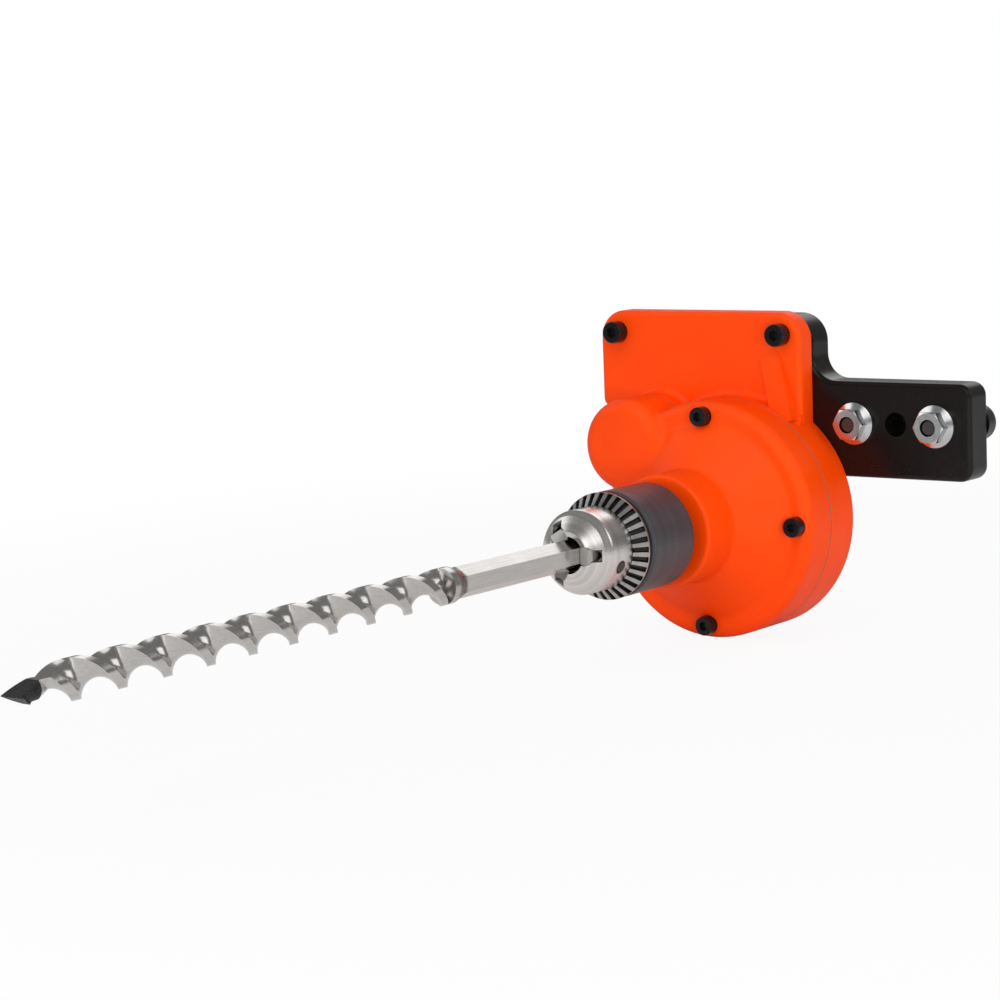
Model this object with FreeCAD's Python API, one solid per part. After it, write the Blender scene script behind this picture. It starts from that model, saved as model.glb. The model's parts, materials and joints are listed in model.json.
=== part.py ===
"""Chainsaw auger attachment: a gear case on a cast bracket, a keyed chuck and a twisted auger bit.

Everything is modelled about the spindle, which lies on the Y axis with the flat face of the front
cover at y = 0 and the chuck towards -Y. The finished pieces are then moved so that the origin is
the middle of the two saw studs on the mounting plane behind the bar plate. Units are millimetres.
"""
import FreeCAD, Part
import math
import os

V = FreeCAD.Vector

# Clearances
seat_gap = 0.02
running_gap = 0.05
body_gap = 0.30

# Gear pair
gear_module = 2.0
wheel_teeth = 39
pinion_teeth = 13
pressure_angle = 25.0
backlash = 0.15
root_depth_modules = 1.25
web_rim_modules = 3
web_hub_wall = 6.0
web_depth = 3.0
wheel_width = 14.0
pinion_width = 15.0
pinion_direction = 141.5

# Gear case along the spindle
case_wall = 5.0
gasket_thickness = 0.6
cover_depth = 18.7
case_depth = 18.7
boss_length = 36.0
boss_radius = 25.0
cone_foot_radius = 44.0
cone_height = 15.0
cover_edge_radius = 5.0
rim_width = 10.8
tip_clearance = 1.4
boss_edge_radius = 1.5
cone_top_blend = 4.0
cone_foot_blend = 5.0
bearing_back_wall = 2.5
bearing_step = 1.5
pinion_side_gap = 1.3
pinion_bearing_step = 1.2
bump_height = 6.5
bump_wall = 4.6
bump_edge_radius = 6.5
blend_radius = 4.0
cove_radius = 3.0

# Upper plate of the rear casing
plate_left = -73.5
plate_right = 33.8
plate_top = 90.8
plate_foot = 46.0
plate_thickness = 10.0
plate_corner = 12.5
plate_foot_corner = 4.0
plate_edge_radius = 2.5
gusset_width = 10.0
gusset_height = 3.0
gusset_foot_angle = 56.6
gusset_foot_inset = 2.9
gusset_foot_set_back = 2.0
gusset_top_aside = 6.0
gusset_top_drop = 9.0
gusset_top_rise = 0.5

# Bracket and mounting
bracket_thickness = 16.0
bracket_edge_radius = 2.0
bracket_top_drop = 1.8
pinion_hole_gap = 2.0
arm_top = 60.0
arm_bottom = 17.3
arm_end = 112.2
arm_corner = 6.0
arm_throat_radius = 11.0
stud_spacing = 40.0
stud_middle_x = 75.5
stud_height = 41.4
stud_radius = 4.0
stud_shank_radius = 4.5
nut_thread_radius = 3.7
stud_chamfer = 0.6
stud_nut_inset = 0.8
stud_reach = 14.0
tension_hole_radius = 5.4
bar_thickness = 6.0
bar_height = 16.0
bar_left = 40.0
bar_right = 113.0
pocket_floor = 6.0
pocket_corner = 4.0
pocket_rim = 4.0
pocket_rib = 8.0
upper_pockets = ((-52.0, -25.0), (-19.0, 14.0))
lower_pockets = ((-14.0, 8.0), (14.0, 32.0))
lower_pocket_rim = 7.0

# Screws, nuts and pins
cover_screw_radius = 2.5
cover_screw_head = 4.3
cover_screw_head_height = 5.0
cover_screw_reach = 7.0
cover_screw_circle = 46.9
cover_screw_count = 4
cover_screw_seat = 0.3
plate_screw_radius = 3.0
plate_screw_head = 5.0
plate_screw_head_height = 6.0
plate_screw_end_wall = 4.0
plate_screw_left = -63.2
plate_screw_right = 24.0
plate_screw_height = 81.0
rear_screw_angle = 30.0
rear_screw_sink = 6.5
rear_screw_reach = 12.0
screw_clearance = 0.25
screw_hole_spare = 1.0
head_corner_share = 0.12
socket_flats_share = 1.6
socket_depth_share = 0.9
nut_flats = 13.0
nut_flange_radius = 9.3
nut_height = 8.0
nut_flange_height = 1.8
nut_flange_slope = 1.6
nut_chamfer = 1.0
nut_corner_spare = 0.6
dowel_radius = 3.0
dowel_length = 15.0
dowel_height = 62.0
dowel_hole_spare = 0.5

# Bearings: bore radius, outer radius, width
front_bearing = (7.5, 17.5, 11.0)
rear_bearing = (6.0, 16.0, 10.0)
pinion_front_bearing = (5.0, 13.0, 8.0)
pinion_rear_bearing = (6.0, 16.0, 10.0)
race_share = 0.27
shield_thickness = 1.0
bearing_corner = 0.6

# Spindle and drive
spindle_nose_radius = 6.35
spindle_nose_length = 17.0
spindle_neck = 5.0
shaft_corner = 0.5
shaft_end_inset = 0.4
wheel_seat_radius = 10.0
wheel_collar_radius = 13.0
wheel_collar_width = 4.0
key_width = 6.0
key_depth = 3.5
key_height = 6.0
key_end_inset = 1.0
circlip_width = 1.2
circlip_depth = 0.8
circlip_height = 2.6
circlip_opening = 3.0
seal_width = 6.0
seal_wall = 5.5
seal_seat_step = 4.5
seal_inset = 2.0
seal_skin = 1.5
seal_face_thickness = 2.0
seal_lip_recess = 1.5
seal_lip_land = 1.0
seal_mouth = 0.5
pinion_shoulder = 1.8
spacer_radius = 9.0
sprocket_teeth = 7
sprocket_radius = 20.4
sprocket_gap_width = 7.4
sprocket_gap_depth = 6.5
sprocket_width = 7.5
sprocket_stand_off = 2.0
sprocket_edge_radius = 1.0
sprocket_key_width = 4.0
sprocket_key_inset = 0.5
sprocket_washer_radius = 11.0
sprocket_washer_thickness = 1.5
sprocket_nut_flats = 16.0
sprocket_nut_height = 6.0
sprocket_thread_radius = 5.0
sprocket_thread_spare = 2.0

# Chuck
chuck_gap = 4.6
sleeve_radius = 22.9
sleeve_length = 37.6
sleeve_wall = 1.5
sleeve_grip_length = 15.0
sleeve_back_drop = 2.5
sleeve_back_taper = 4.0
sleeve_groove_inset = 3.4
sleeve_groove_width = 1.1
sleeve_groove_depth = 0.7
sleeve_back_corner = 1.5
sleeve_taper_corner = 1.0
sleeve_front_corner = 0.4
nut_wall = 3.9
body_shoulder = 0.5
body_length = 65.0
shoulder_gap = 0.3
nose_step = 1.8
nose_bore_radius = 10.0
nose_mouth_radius = 8.0
nose_mouth_depth = 4.0
nose_cone_length = 5.1
nose_taper_length = 3.0
body_back_corner = 1.0
body_step_corner = 0.5
nose_taper_blend = 2.0
nose_shoulder_blend = 1.5
bit_bore_radius = 7.0
bit_bore_floor = 2.0
shank_end_gap = 6.0
chuck_screw_radius = 3.0
chuck_screw_head_radius = 5.0
chuck_screw_head_height = 3.5
chuck_screw_socket_depth = 2.1
chuck_screw_reach = 13.0
chuck_screw_hole = 15.0
ring_teeth = 32
ring_tooth_depth = 1.7
ring_gap_mouth = 1.7
ring_gap_floor = 0.8
ring_length = 5.8
ring_rim = 1.0
ring_lip = 0.1
ring_tongue = 1.8
ring_tongue_wall = 1.4
nose_groove_radius = 2.6
nose_groove_depth = 1.2
key_hole_radius = 3.0
key_hole_angle = -20.0
key_hole_depth = 3.0
key_hole_back = 14.5
jaw_count = 3
jaw_radius = 4.0
jaw_tilt = 13.0
jaw_back_flat = 2.7
jaw_setback = 0.5
jaw_overrun = 1.0
jaw_run_out = 11.0
jaw_play = 0.1
jaw_travel = 3.2
nut_ring_width = 6.0
nut_ring_inset = 3.2
nut_back_wall = 2.07
nut_thread_gap = 0.5

# Auger bit
shank_flats = 11.4
shank_free_length = 77.0
collar_length = 8.0
collar_cone = 4.0
collar_corner = 1.5
flight_radius = 7.45
flight_lead = 44.7
flight_length = 220.0
flight_land_angle = 18.5
flight_web = 1.5
flight_phase = 96.6
tip_length = 11.0
point_taper_length = 25.6
point_drop = 1.0
point_heel = 4.4
point_heel_back = 6.4
point_relief = 2.2
point_relief_back = 17.0
point_core_start = 0.7
point_core_radius = 4.2
point_core_run = 8.0
point_spare = 3.0

# Places that follow from the sizes above
wheel_pitch_radius = gear_module * wheel_teeth / 2
pinion_pitch_radius = gear_module * pinion_teeth / 2
gear_centres = wheel_pitch_radius + pinion_pitch_radius
pinion_x = gear_centres * math.cos(math.radians(pinion_direction))
pinion_z = gear_centres * math.sin(math.radians(pinion_direction))
cavity_radius = wheel_pitch_radius + gear_module + tip_clearance
case_radius = cavity_radius + rim_width
pinion_cavity_radius = pinion_pitch_radius + gear_module + tip_clearance
bump_radius = pinion_cavity_radius + bump_wall
seam_back = cover_depth + gasket_thickness
case_back = seam_back + case_depth
plate_front = case_back - plate_thickness
bracket_back = case_back + bracket_thickness
mount_plane = bracket_back + bar_thickness
rear_bearing_y = case_back - bearing_back_wall - rear_bearing[2]
case_floor = rear_bearing_y - bearing_step
front_bearing_y = -boss_length + seal_width
collar_front = 3.0
wheel_y = collar_front + wheel_collar_width
wheel_back = wheel_y + wheel_width
pinion_y = wheel_y - (pinion_width - wheel_width) / 2
pinion_floor = pinion_y - pinion_side_gap
pinion_front_bearing_y = pinion_floor - pinion_bearing_step - pinion_front_bearing[2]
bracket_top = plate_top - bracket_top_drop
sprocket_y = bracket_back + sprocket_stand_off
sprocket_back = sprocket_y + sprocket_width
sprocket_nut_y = sprocket_back + sprocket_washer_thickness
chuck_back = -boss_length - chuck_gap
chuck_seat = -boss_length - spindle_neck
sleeve_front = chuck_back - sleeve_length
sleeve_bore = sleeve_radius - sleeve_wall
body_rear_radius = sleeve_bore - nut_wall
body_front_radius = body_rear_radius + body_shoulder
nose_radius = body_front_radius - nose_step
nose_face = chuck_seat - body_length
nose_end = chuck_seat - spindle_nose_length
bit_bore_end = nose_end - bit_bore_floor
ring_front = sleeve_front - ring_length
nut_front = sleeve_front + nut_ring_inset
nut_back = nut_front + nut_ring_width
jaw_end = nut_back + jaw_overrun
key_hole_floor = body_front_radius - key_hole_depth
shank_end = nose_face - shank_free_length
flight_start = shank_end - collar_length
flight_end = flight_start - flight_length


def rod(radius, y0, y1, x=0.0, z=0.0):
    """A round bar along Y."""
    return Part.makeCylinder(radius, y1 - y0, V(x, y0, z), V(0, 1, 0))


def block(x0, x1, y0, y1, z0, z1):
    return Part.makeBox(x1 - x0, y1 - y0, z1 - z0, V(x0, y0, z0))


def ring(outer, inner, y0, y1, x=0.0, z=0.0):
    return rod(outer, y0, y1, x, z).cut(rod(inner, y0 - 1, y1 + 1, x, z))


def in_section(a, b):
    """A profile point: radius a from the spindle, at b along it."""
    return V(a, b, 0)


def across(a, b):
    """A face point: a along X and b along Z."""
    return V(a, 0, b)


def outline(corners, place):
    """A closed wire through corners (a, b, corner radius), with each rounded corner a tangent arc."""
    count = len(corners)
    points = [place(a, b) for a, b, _ in corners]
    stops = []
    for i, (_, _, radius) in enumerate(corners):
        here = points[i]
        back = (points[i - 1] - here).normalize()
        ahead = (points[(i + 1) % count] - here).normalize()
        if radius <= 0:
            stops.append((here, None, here))
            continue
        half = back.getAngle(ahead) / 2
        reach = radius / math.tan(half)
        centre = here + (back + ahead).normalize() * (radius / math.sin(half))
        middle = centre + (here - centre).normalize() * radius
        stops.append((here + back * reach, middle, here + ahead * reach))
    edges = []
    for i, (start, middle, end) in enumerate(stops):
        if middle is not None:
            edges.append(Part.Arc(start, middle, end).toShape())
        following = stops[(i + 1) % count][0]
        if end.distanceToPoint(following) > 1e-6:
            edges.append(Part.LineSegment(end, following).toShape())
    return Part.Wire(Part.__sortEdges__(edges))


def turned(corners, x=0.0, z=0.0):
    """A solid of revolution about Y from corners (radius, y, corner radius)."""
    face = Part.Face(outline(corners, in_section))
    solid = face.revolve(V(0, 0, 0), V(0, 1, 0), 360)
    solid.translate(V(x, 0, z))
    return solid


def slab(corners, y0, y1):
    """A plate with the outline given by corners (x, z, corner radius), from y0 to y1."""
    plate = Part.Face(outline(corners, across)).extrude(V(0, y1 - y0, 0))
    plate.translate(V(0, y0, 0))
    return plate


def hexagon_bar(flats, y0, y1, x=0.0, z=0.0, turn=0.0):
    """A hexagon bar along Y, with one flat facing the direction turn."""
    radius = flats / math.sqrt(3)
    corners = []
    for k in range(6):
        angle = math.radians(turn + 30 + 60 * k)
        corners.append((x + radius * math.cos(angle), z + radius * math.sin(angle), 0))
    return slab(corners, y0, y1)


def spun(shape, degrees, x=0.0, z=0.0):
    """A copy turned about an axis along Y, so that +X turns towards +Z."""
    copy = shape.copy()
    copy.rotate(V(x, 0, z), V(0, 1, 0), -degrees)
    return copy


def round_edges(solid, radius, wanted):
    """Round every edge for which wanted(edge) holds."""
    edges = [edge for edge in solid.Edges if wanted(edge)]
    return solid.makeFillet(radius, edges)


def lies_at(y):
    """A test for edges that lie flat at this y."""
    def test(edge):
        box = edge.BoundBox
        return abs(box.YMin - y) < 0.01 and abs(box.YMax - y) < 0.01
    return test


def socket_screw(radius, head_radius, head_y, seat_y, end_y, x, z):
    """A cap screw with its head from head_y to seat_y and a hexagon socket in the head."""
    head = rod(head_radius, head_y, seat_y, x, z)
    head = round_edges(head, head_radius * head_corner_share, lies_at(head_y))
    shank = rod(radius, (head_y + seat_y) / 2, end_y, x, z)
    floor = head_y + radius * socket_depth_share
    socket = hexagon_bar(radius * socket_flats_share, head_y - 1, floor, x, z)
    return head.fuse(shank).cut(socket)


def bearing(sizes, y0, x=0.0, z=0.0):
    """The outer ring with its two shields, and the inner ring, of a sealed ball bearing."""
    bore, outside, width = sizes
    race = (outside - bore) * race_share
    inner_top = bore + race
    outer_foot = outside - race
    shield_edge = inner_top + body_gap
    outside -= seat_gap
    y1 = y0 + width
    outer = turned([(outside, y0, bearing_corner), (outside, y1, bearing_corner), (shield_edge, y1, 0),
                    (shield_edge, y1 - shield_thickness, 0), (outer_foot, y1 - shield_thickness, 0),
                    (outer_foot, y0 + shield_thickness, 0), (shield_edge, y0 + shield_thickness, 0),
                    (shield_edge, y0, 0)], x, z)
    inner = ring(inner_top, bore + seat_gap, y0, y1, x, z)
    return outer, inner


def lip_seal(shaft_radius, outside, y0, width, x=0.0, z=0.0):
    """A rubber shaft seal with a lip that runs on the shaft."""
    lip = shaft_radius + running_gap
    outside -= seat_gap
    y1 = y0 + width
    skin, face_end, lip_end = seal_skin, y0 + seal_face_thickness, y1 - seal_lip_recess
    return turned([(outside, y0, seal_mouth), (outside, y1, 0), (outside - skin, y1, 0),
                   (outside - skin, face_end, 0), (lip + skin, face_end, 0),
                   (lip + skin, lip_end + seal_mouth, 0), (lip, lip_end, 0),
                   (lip, lip_end - seal_lip_land, 0), (lip + seal_mouth, y0, 0)], x, z)


# Gears
def involute_gear(teeth, width, y0, phase):
    """A spur gear about Y; one tooth is centred on the direction phase, in degrees."""
    pitch_radius = gear_module * teeth / 2
    base_radius = pitch_radius * math.cos(math.radians(pressure_angle))
    tip_radius = pitch_radius + gear_module
    root_radius = pitch_radius - root_depth_modules * gear_module
    start_radius = max(base_radius, root_radius)
    slope = math.radians(pressure_angle)
    half_tooth = (math.pi * gear_module - backlash) / 4 / pitch_radius + math.tan(slope) - slope

    def flank_angle(radius):
        local = math.acos(min(1.0, base_radius / radius))
        return half_tooth - (math.tan(local) - local)

    def point(radius, angle):
        return V(radius * math.cos(angle), 0, radius * math.sin(angle))

    edges = []
    step = 2 * math.pi / teeth
    radii = (start_radius, (start_radius + tip_radius) / 2, tip_radius)
    for k in range(teeth):
        middle = math.radians(phase) + k * step
        rising = [point(r, middle - flank_angle(r)) for r in radii]
        falling = [point(r, middle + flank_angle(r)) for r in radii]
        if root_radius < start_radius:
            foot = flank_angle(start_radius)
            edges.append(Part.LineSegment(point(root_radius, middle - foot), rising[0]).toShape())
            edges.append(Part.LineSegment(falling[0], point(root_radius, middle + foot)).toShape())
        edges.append(Part.Arc(*rising).toShape())
        edges.append(Part.Arc(rising[2], point(tip_radius, middle), falling[2]).toShape())
        edges.append(Part.Arc(falling[2], falling[1], falling[0]).toShape())
        foot = flank_angle(start_radius)
        edges.append(Part.Arc(point(root_radius, middle + foot), point(root_radius, middle + step / 2),
                              point(root_radius, middle + step - foot)).toShape())
    gear = Part.Face(Part.Wire(Part.__sortEdges__(edges))).extrude(V(0, width, 0))
    gear.translate(V(0, y0, 0))
    return gear


def key_block(width, low, high, y0, y1, x=0.0, z=0.0):
    """A key, or the slot for it, standing on the +Z side of a shaft."""
    return block(x - width / 2, x + width / 2, y0, y1, z + low, z + high)


def drive_gear():
    gear = involute_gear(wheel_teeth, wheel_width, wheel_y, pinion_direction)
    web = ring(wheel_pitch_radius - web_rim_modules * gear_module, wheel_seat_radius + web_hub_wall,
               wheel_y - 1, wheel_y + web_depth)
    gear = gear.cut(web)
    gear = gear.cut(rod(wheel_seat_radius + seat_gap, wheel_y - 1, wheel_back + 1))
    slot_top = wheel_seat_radius - key_depth + key_height + 2 * seat_gap
    gear = gear.cut(key_block(key_width + 2 * seat_gap, 0, slot_top, wheel_y - 1, wheel_back + 1))
    return gear


def gear_key():
    low = wheel_seat_radius - key_depth
    return key_block(key_width, low, low + key_height, wheel_y + key_end_inset, wheel_back - key_end_inset)


def circlip():
    groove = wheel_seat_radius - circlip_depth
    clip = ring(groove + circlip_height, groove + seat_gap, wheel_back, wheel_back + circlip_width)
    half = circlip_opening / 2
    gap = block(-half, half, wheel_back - 1, wheel_back + circlip_width + 1, -2 * groove, 0)
    return clip.cut(gap)


def spindle():
    bearing_radius = front_bearing[0]
    groove = wheel_seat_radius - circlip_depth
    tail = rear_bearing_y + rear_bearing[2] - shaft_end_inset
    shaft = turned([(0, nose_end, 0), (spindle_nose_radius, nose_end, shaft_corner),
                    (spindle_nose_radius, chuck_seat, 0), (bearing_radius, chuck_seat, shaft_corner),
                    (bearing_radius, front_bearing_y + front_bearing[2], 0),
                    (wheel_seat_radius, front_bearing_y + front_bearing[2], 0),
                    (wheel_seat_radius, collar_front, 0), (wheel_collar_radius, collar_front, shaft_corner),
                    (wheel_collar_radius, wheel_y, 0), (wheel_seat_radius, wheel_y, 0),
                    (wheel_seat_radius, wheel_back, 0), (groove, wheel_back, 0),
                    (groove, wheel_back + circlip_width + seat_gap, 0),
                    (wheel_seat_radius, wheel_back + circlip_width + seat_gap, 0),
                    (wheel_seat_radius, rear_bearing_y, 0), (rear_bearing[0], rear_bearing_y, 0),
                    (rear_bearing[0], tail, shaft_corner), (0, tail, 0)])
    low = wheel_seat_radius - key_depth
    shaft = shaft.cut(key_block(key_width + 2 * seat_gap, low, wheel_seat_radius + 1,
                                wheel_y + key_end_inset, wheel_back - key_end_inset))
    return shaft.cut(rod(chuck_screw_radius + seat_gap, nose_end - 1, nose_end + chuck_screw_hole))


def pinion_shaft():
    """The pinion and its shaft, cut from one bar."""
    nose, seat = pinion_front_bearing[0], pinion_rear_bearing[0]
    front = pinion_front_bearing_y + shaft_end_inset
    front_end = pinion_front_bearing_y + pinion_front_bearing[2]
    thread_end = sprocket_nut_y + sprocket_nut_height + sprocket_thread_spare
    shaft = turned([(0, front, 0), (nose, front, shaft_corner), (nose, front_end, 0),
                    (nose + pinion_shoulder, front_end, 0), (nose + pinion_shoulder, pinion_y, 0),
                    (seat + pinion_shoulder, pinion_y, 0), (seat + pinion_shoulder, rear_bearing_y, 0),
                    (seat, rear_bearing_y, 0), (seat, sprocket_back, 0),
                    (sprocket_thread_radius, sprocket_back, 0),
                    (sprocket_thread_radius, thread_end, shaft_corner), (0, thread_end, 0)])
    gap_phase = pinion_direction + 180 + 180 / pinion_teeth
    shaft = shaft.fuse(involute_gear(pinion_teeth, pinion_width, pinion_y, gap_phase))
    low = seat - sprocket_key_width / 2
    slot = key_block(sprocket_key_width + 2 * seat_gap, low, seat + 1,
                     sprocket_y + sprocket_key_inset, sprocket_back - sprocket_key_inset)
    shaft = shaft.cut(slot)
    shaft.translate(V(pinion_x, 0, pinion_z))
    return shaft


def drive_sprocket():
    """A spur sprocket whose gaps take the drive links of the saw chain."""
    y1 = sprocket_back
    wheel = turned([(0, sprocket_y, 0), (sprocket_radius, sprocket_y, sprocket_edge_radius),
                    (sprocket_radius, y1, sprocket_edge_radius), (0, y1, 0)])
    half = sprocket_gap_width / 2
    floor = sprocket_radius - sprocket_gap_depth + half
    gap = rod(half, sprocket_y - 1, y1 + 1, floor, 0)
    gap = gap.fuse(block(floor, sprocket_radius + 2, sprocket_y - 1, y1 + 1, -half, half))
    for k in range(sprocket_teeth):
        wheel = wheel.cut(spun(gap, 360 * k / sprocket_teeth))
    seat = pinion_rear_bearing[0]
    wheel = wheel.cut(rod(seat + seat_gap, sprocket_y - 1, y1 + 1))
    slot_top = seat + sprocket_key_width / 2 + seat_gap
    wheel = wheel.cut(key_block(sprocket_key_width + 2 * seat_gap, 0, slot_top, sprocket_y - 1, y1 + 1))
    wheel.translate(V(pinion_x, 0, pinion_z))
    return wheel


def sprocket_key():
    seat = pinion_rear_bearing[0]
    half = sprocket_key_width / 2
    return key_block(sprocket_key_width, seat - half, seat + half, sprocket_y + sprocket_key_inset,
                     sprocket_back - sprocket_key_inset, pinion_x, pinion_z)


def sprocket_spacer():
    y0 = rear_bearing_y + pinion_rear_bearing[2]
    return ring(spacer_radius, pinion_rear_bearing[0] + seat_gap, y0, sprocket_y, pinion_x, pinion_z)


def sprocket_washer():
    return ring(sprocket_washer_radius, sprocket_thread_radius + seat_gap, sprocket_back, sprocket_nut_y,
                pinion_x, pinion_z)


def sprocket_nut():
    y0, y1 = sprocket_nut_y, sprocket_nut_y + sprocket_nut_height
    nut = hexagon_bar(sprocket_nut_flats, y0, y1, pinion_x, pinion_z)
    return nut.cut(rod(sprocket_thread_radius + seat_gap, y0 - 1, y1 + 1, pinion_x, pinion_z))


# Gear case
def screw_places():
    """The cover screws, evenly round the spindle."""
    for k in range(cover_screw_count):
        angle = 2 * math.pi * k / cover_screw_count
        yield cover_screw_circle * math.cos(angle), cover_screw_circle * math.sin(angle)


def gear_space(y0, y1):
    """The room round the wheel and the pinion."""
    return rod(cavity_radius, y0, y1).fuse(rod(pinion_cavity_radius, y0, y1, pinion_x, pinion_z))


def cover_cavity():
    """The inside of the cover: its cone keeps the wall even behind the outer cone."""
    run = cone_foot_radius - boss_radius
    length = math.hypot(run, cone_height)
    down = case_wall * run / length
    inward = case_wall * cone_height / length
    slope = cone_height / run
    foot = cone_foot_radius - inward
    bearing_seat = front_bearing[1]
    cone_low = down - (foot - bearing_seat) * slope
    cone_high = down + (cavity_radius - foot) * slope
    end = cover_depth + 1
    cone = turned([(0, front_bearing_y, 0), (bearing_seat, front_bearing_y, 0), (bearing_seat, cone_low, 0),
                   (cavity_radius, cone_high, 0), (cavity_radius, end, 0), (0, end, 0)])
    pinion_room = rod(pinion_cavity_radius, pinion_floor, end, pinion_x, pinion_z)
    pinion_seat = rod(pinion_front_bearing[1], pinion_front_bearing_y, cover_depth, pinion_x, pinion_z)
    return cone.fuse(pinion_room).fuse(pinion_seat)


def about_pinion(face):
    """Whether a face is round about the pinion's axis."""
    centre = getattr(face.Surface, "Center", None)
    return centre is not None and math.hypot(centre.x - pinion_x, centre.z - pinion_z) < 0.01


def bump_joints(cover):
    """The edges where the bump meets the dome, at the front of the cover."""
    joints = []
    for edge in cover.Edges:
        faces = cover.ancestorsOfType(edge, Part.Face)
        flat_front = any(lies_at(-bump_height)(face) for face in faces)
        if edge.BoundBox.YMin < cover_depth - 0.01 and len(faces) == 2 and not flat_front:
            if about_pinion(faces[0]) != about_pinion(faces[1]):
                joints.append(edge)
    return joints


def front_cover():
    dome = turned([(0, -boss_length, 0), (boss_radius, -boss_length, boss_edge_radius),
                   (boss_radius, -cone_height, cone_top_blend), (cone_foot_radius, 0, cone_foot_blend),
                   (case_radius, 0, cover_edge_radius), (case_radius, cover_depth, 0), (0, cover_depth, 0)])
    bump = rod(bump_radius, -bump_height, cover_depth, pinion_x, pinion_z)
    bump = round_edges(bump, bump_edge_radius, lies_at(-bump_height))
    cover = dome.fuse(bump)
    cover = cover.makeFillet(blend_radius, bump_joints(cover)).cut(cover_cavity())
    cover = cover.cut(rod(front_bearing[1] - seal_seat_step, -boss_length - 1, 0))
    seat_radius = cover_screw_head + screw_clearance
    for x, z in screw_places():
        cover = cover.cut(rod(cover_screw_radius + screw_clearance, -1, cover_depth + 1, x, z))
        cover = cover.cut(rod(seat_radius, -cover_edge_radius, cover_screw_seat, x, z))
    return cover


def cover_gasket():
    sheet = rod(case_radius, cover_depth, seam_back)
    sheet = sheet.fuse(rod(bump_radius, cover_depth, seam_back, pinion_x, pinion_z))
    sheet = sheet.cut(gear_space(cover_depth - 1, seam_back + 1))
    for x, z in screw_places():
        sheet = sheet.cut(rod(cover_screw_radius + screw_clearance, cover_depth - 1, seam_back + 1, x, z))
    return sheet


def plate_outline():
    return [(plate_left, plate_top, plate_corner), (plate_right, plate_top, plate_corner),
            (plate_right, 0, 0), (-boss_radius, 0, 0), (-boss_radius, plate_foot, 0),
            (plate_left, plate_foot, plate_foot_corner)]


def gusset():
    """A sloping rib from the round wall up to the plate, below the right screw."""
    angle = math.radians(gusset_foot_angle)
    foot_reach = case_radius - gusset_foot_inset
    foot = V(foot_reach * math.cos(angle), seam_back + gusset_foot_set_back, foot_reach * math.sin(angle))
    top = V(plate_screw_right - gusset_top_aside, plate_front - gusset_top_rise,
            plate_screw_height - gusset_top_drop)
    along = (top - foot).normalize()
    side = along.cross(V(0, 1, 0)).normalize() * (gusset_width / 2)
    corners = [foot - side, foot + side, top + side, top - side]
    depth = gusset_height + plate_thickness / 2
    rib = Part.Face(Part.makePolygon(corners + [corners[0]])).extrude(V(0, depth, 0))
    return rib.common(block(-case_radius, case_radius, seam_back, case_back, 0, plate_top))


def wall_cove(radius, x=0.0, z=0.0):
    """The hollow blend between a round wall and the plate behind it."""
    high = plate_front - cove_radius
    return turned([(radius - 1, high, 0), (radius, high, 0), (radius, plate_front, cove_radius),
                   (radius + cove_radius, plate_front, 0), (radius + cove_radius, plate_front + 1, 0),
                   (radius - 1, plate_front + 1, 0)], x, z)


def rear_casing():
    case = rod(case_radius, seam_back, case_back)
    case = case.fuse(rod(bump_radius, seam_back, case_back, pinion_x, pinion_z))
    plate = slab(plate_outline(), plate_front, case_back)
    outer_edges = lies_at(plate_front)
    plate = round_edges(plate, plate_edge_radius,
                        lambda edge: outer_edges(edge) and edge.BoundBox.ZMax > plate_foot + 1)
    coves = wall_cove(case_radius).fuse(wall_cove(bump_radius, pinion_x, pinion_z))
    coves = coves.common(slab(plate_outline(), seam_back, case_back))
    case = case.fuse(plate).fuse(coves).fuse(gusset())
    case = case.cut(gear_space(seam_back - 1, case_floor))
    recess = ring(cavity_radius - tip_clearance, rear_bearing[1] + case_wall, case_floor - 1,
                  case_back - case_wall)
    hub = pinion_rear_bearing[1] + bump_wall
    recess = recess.cut(rod(hub, case_floor - 2, case_back, pinion_x, pinion_z))
    case = case.cut(recess)
    bearing_end = rear_bearing_y + rear_bearing[2]
    case = case.cut(rod(rear_bearing[1], case_floor - 1, bearing_end))
    case = case.cut(rod(pinion_rear_bearing[1], case_floor - 1, bearing_end, pinion_x, pinion_z))
    case = case.cut(rod(spacer_radius + body_gap, bearing_end - 1, case_back + 1, pinion_x, pinion_z))
    for x, z in screw_places():
        case = case.cut(rod(cover_screw_radius + seat_gap, seam_back - 1,
                            case_floor + cover_screw_reach + screw_hole_spare, x, z))
    for x in (plate_screw_left, plate_screw_right):
        case = case.cut(rod(plate_screw_radius + screw_clearance, plate_front - 1, case_back + 1, x,
                            plate_screw_height))
        case = case.cut(rod(dowel_radius + seat_gap, case_back - dowel_length / 2, case_back + 1, x,
                            dowel_height))
    x, z = rear_screw_place()
    return case.cut(rod(plate_screw_radius + seat_gap, case_back - rear_screw_reach - screw_hole_spare,
                        case_back + 1, x, z))


def rear_screw_place():
    """The screw from behind, in the rim of the casing above the arm's lower edge."""
    angle = math.radians(rear_screw_angle)
    middle = cavity_radius + rim_width / 2
    return middle * math.cos(angle), middle * math.sin(angle)


def cover_screws():
    top, end = cover_screw_seat - cover_screw_head_height, case_floor + cover_screw_reach
    screws = [socket_screw(cover_screw_radius, cover_screw_head, top, cover_screw_seat, end, x, z)
              for x, z in screw_places()]
    return Part.makeCompound(screws)


def plate_screws():
    top, end = plate_front - plate_screw_head_height, bracket_back - plate_screw_end_wall
    screws = [socket_screw(plate_screw_radius, plate_screw_head, top, plate_front, end, x,
                           plate_screw_height) for x in (plate_screw_left, plate_screw_right)]
    return Part.makeCompound(screws)


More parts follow.
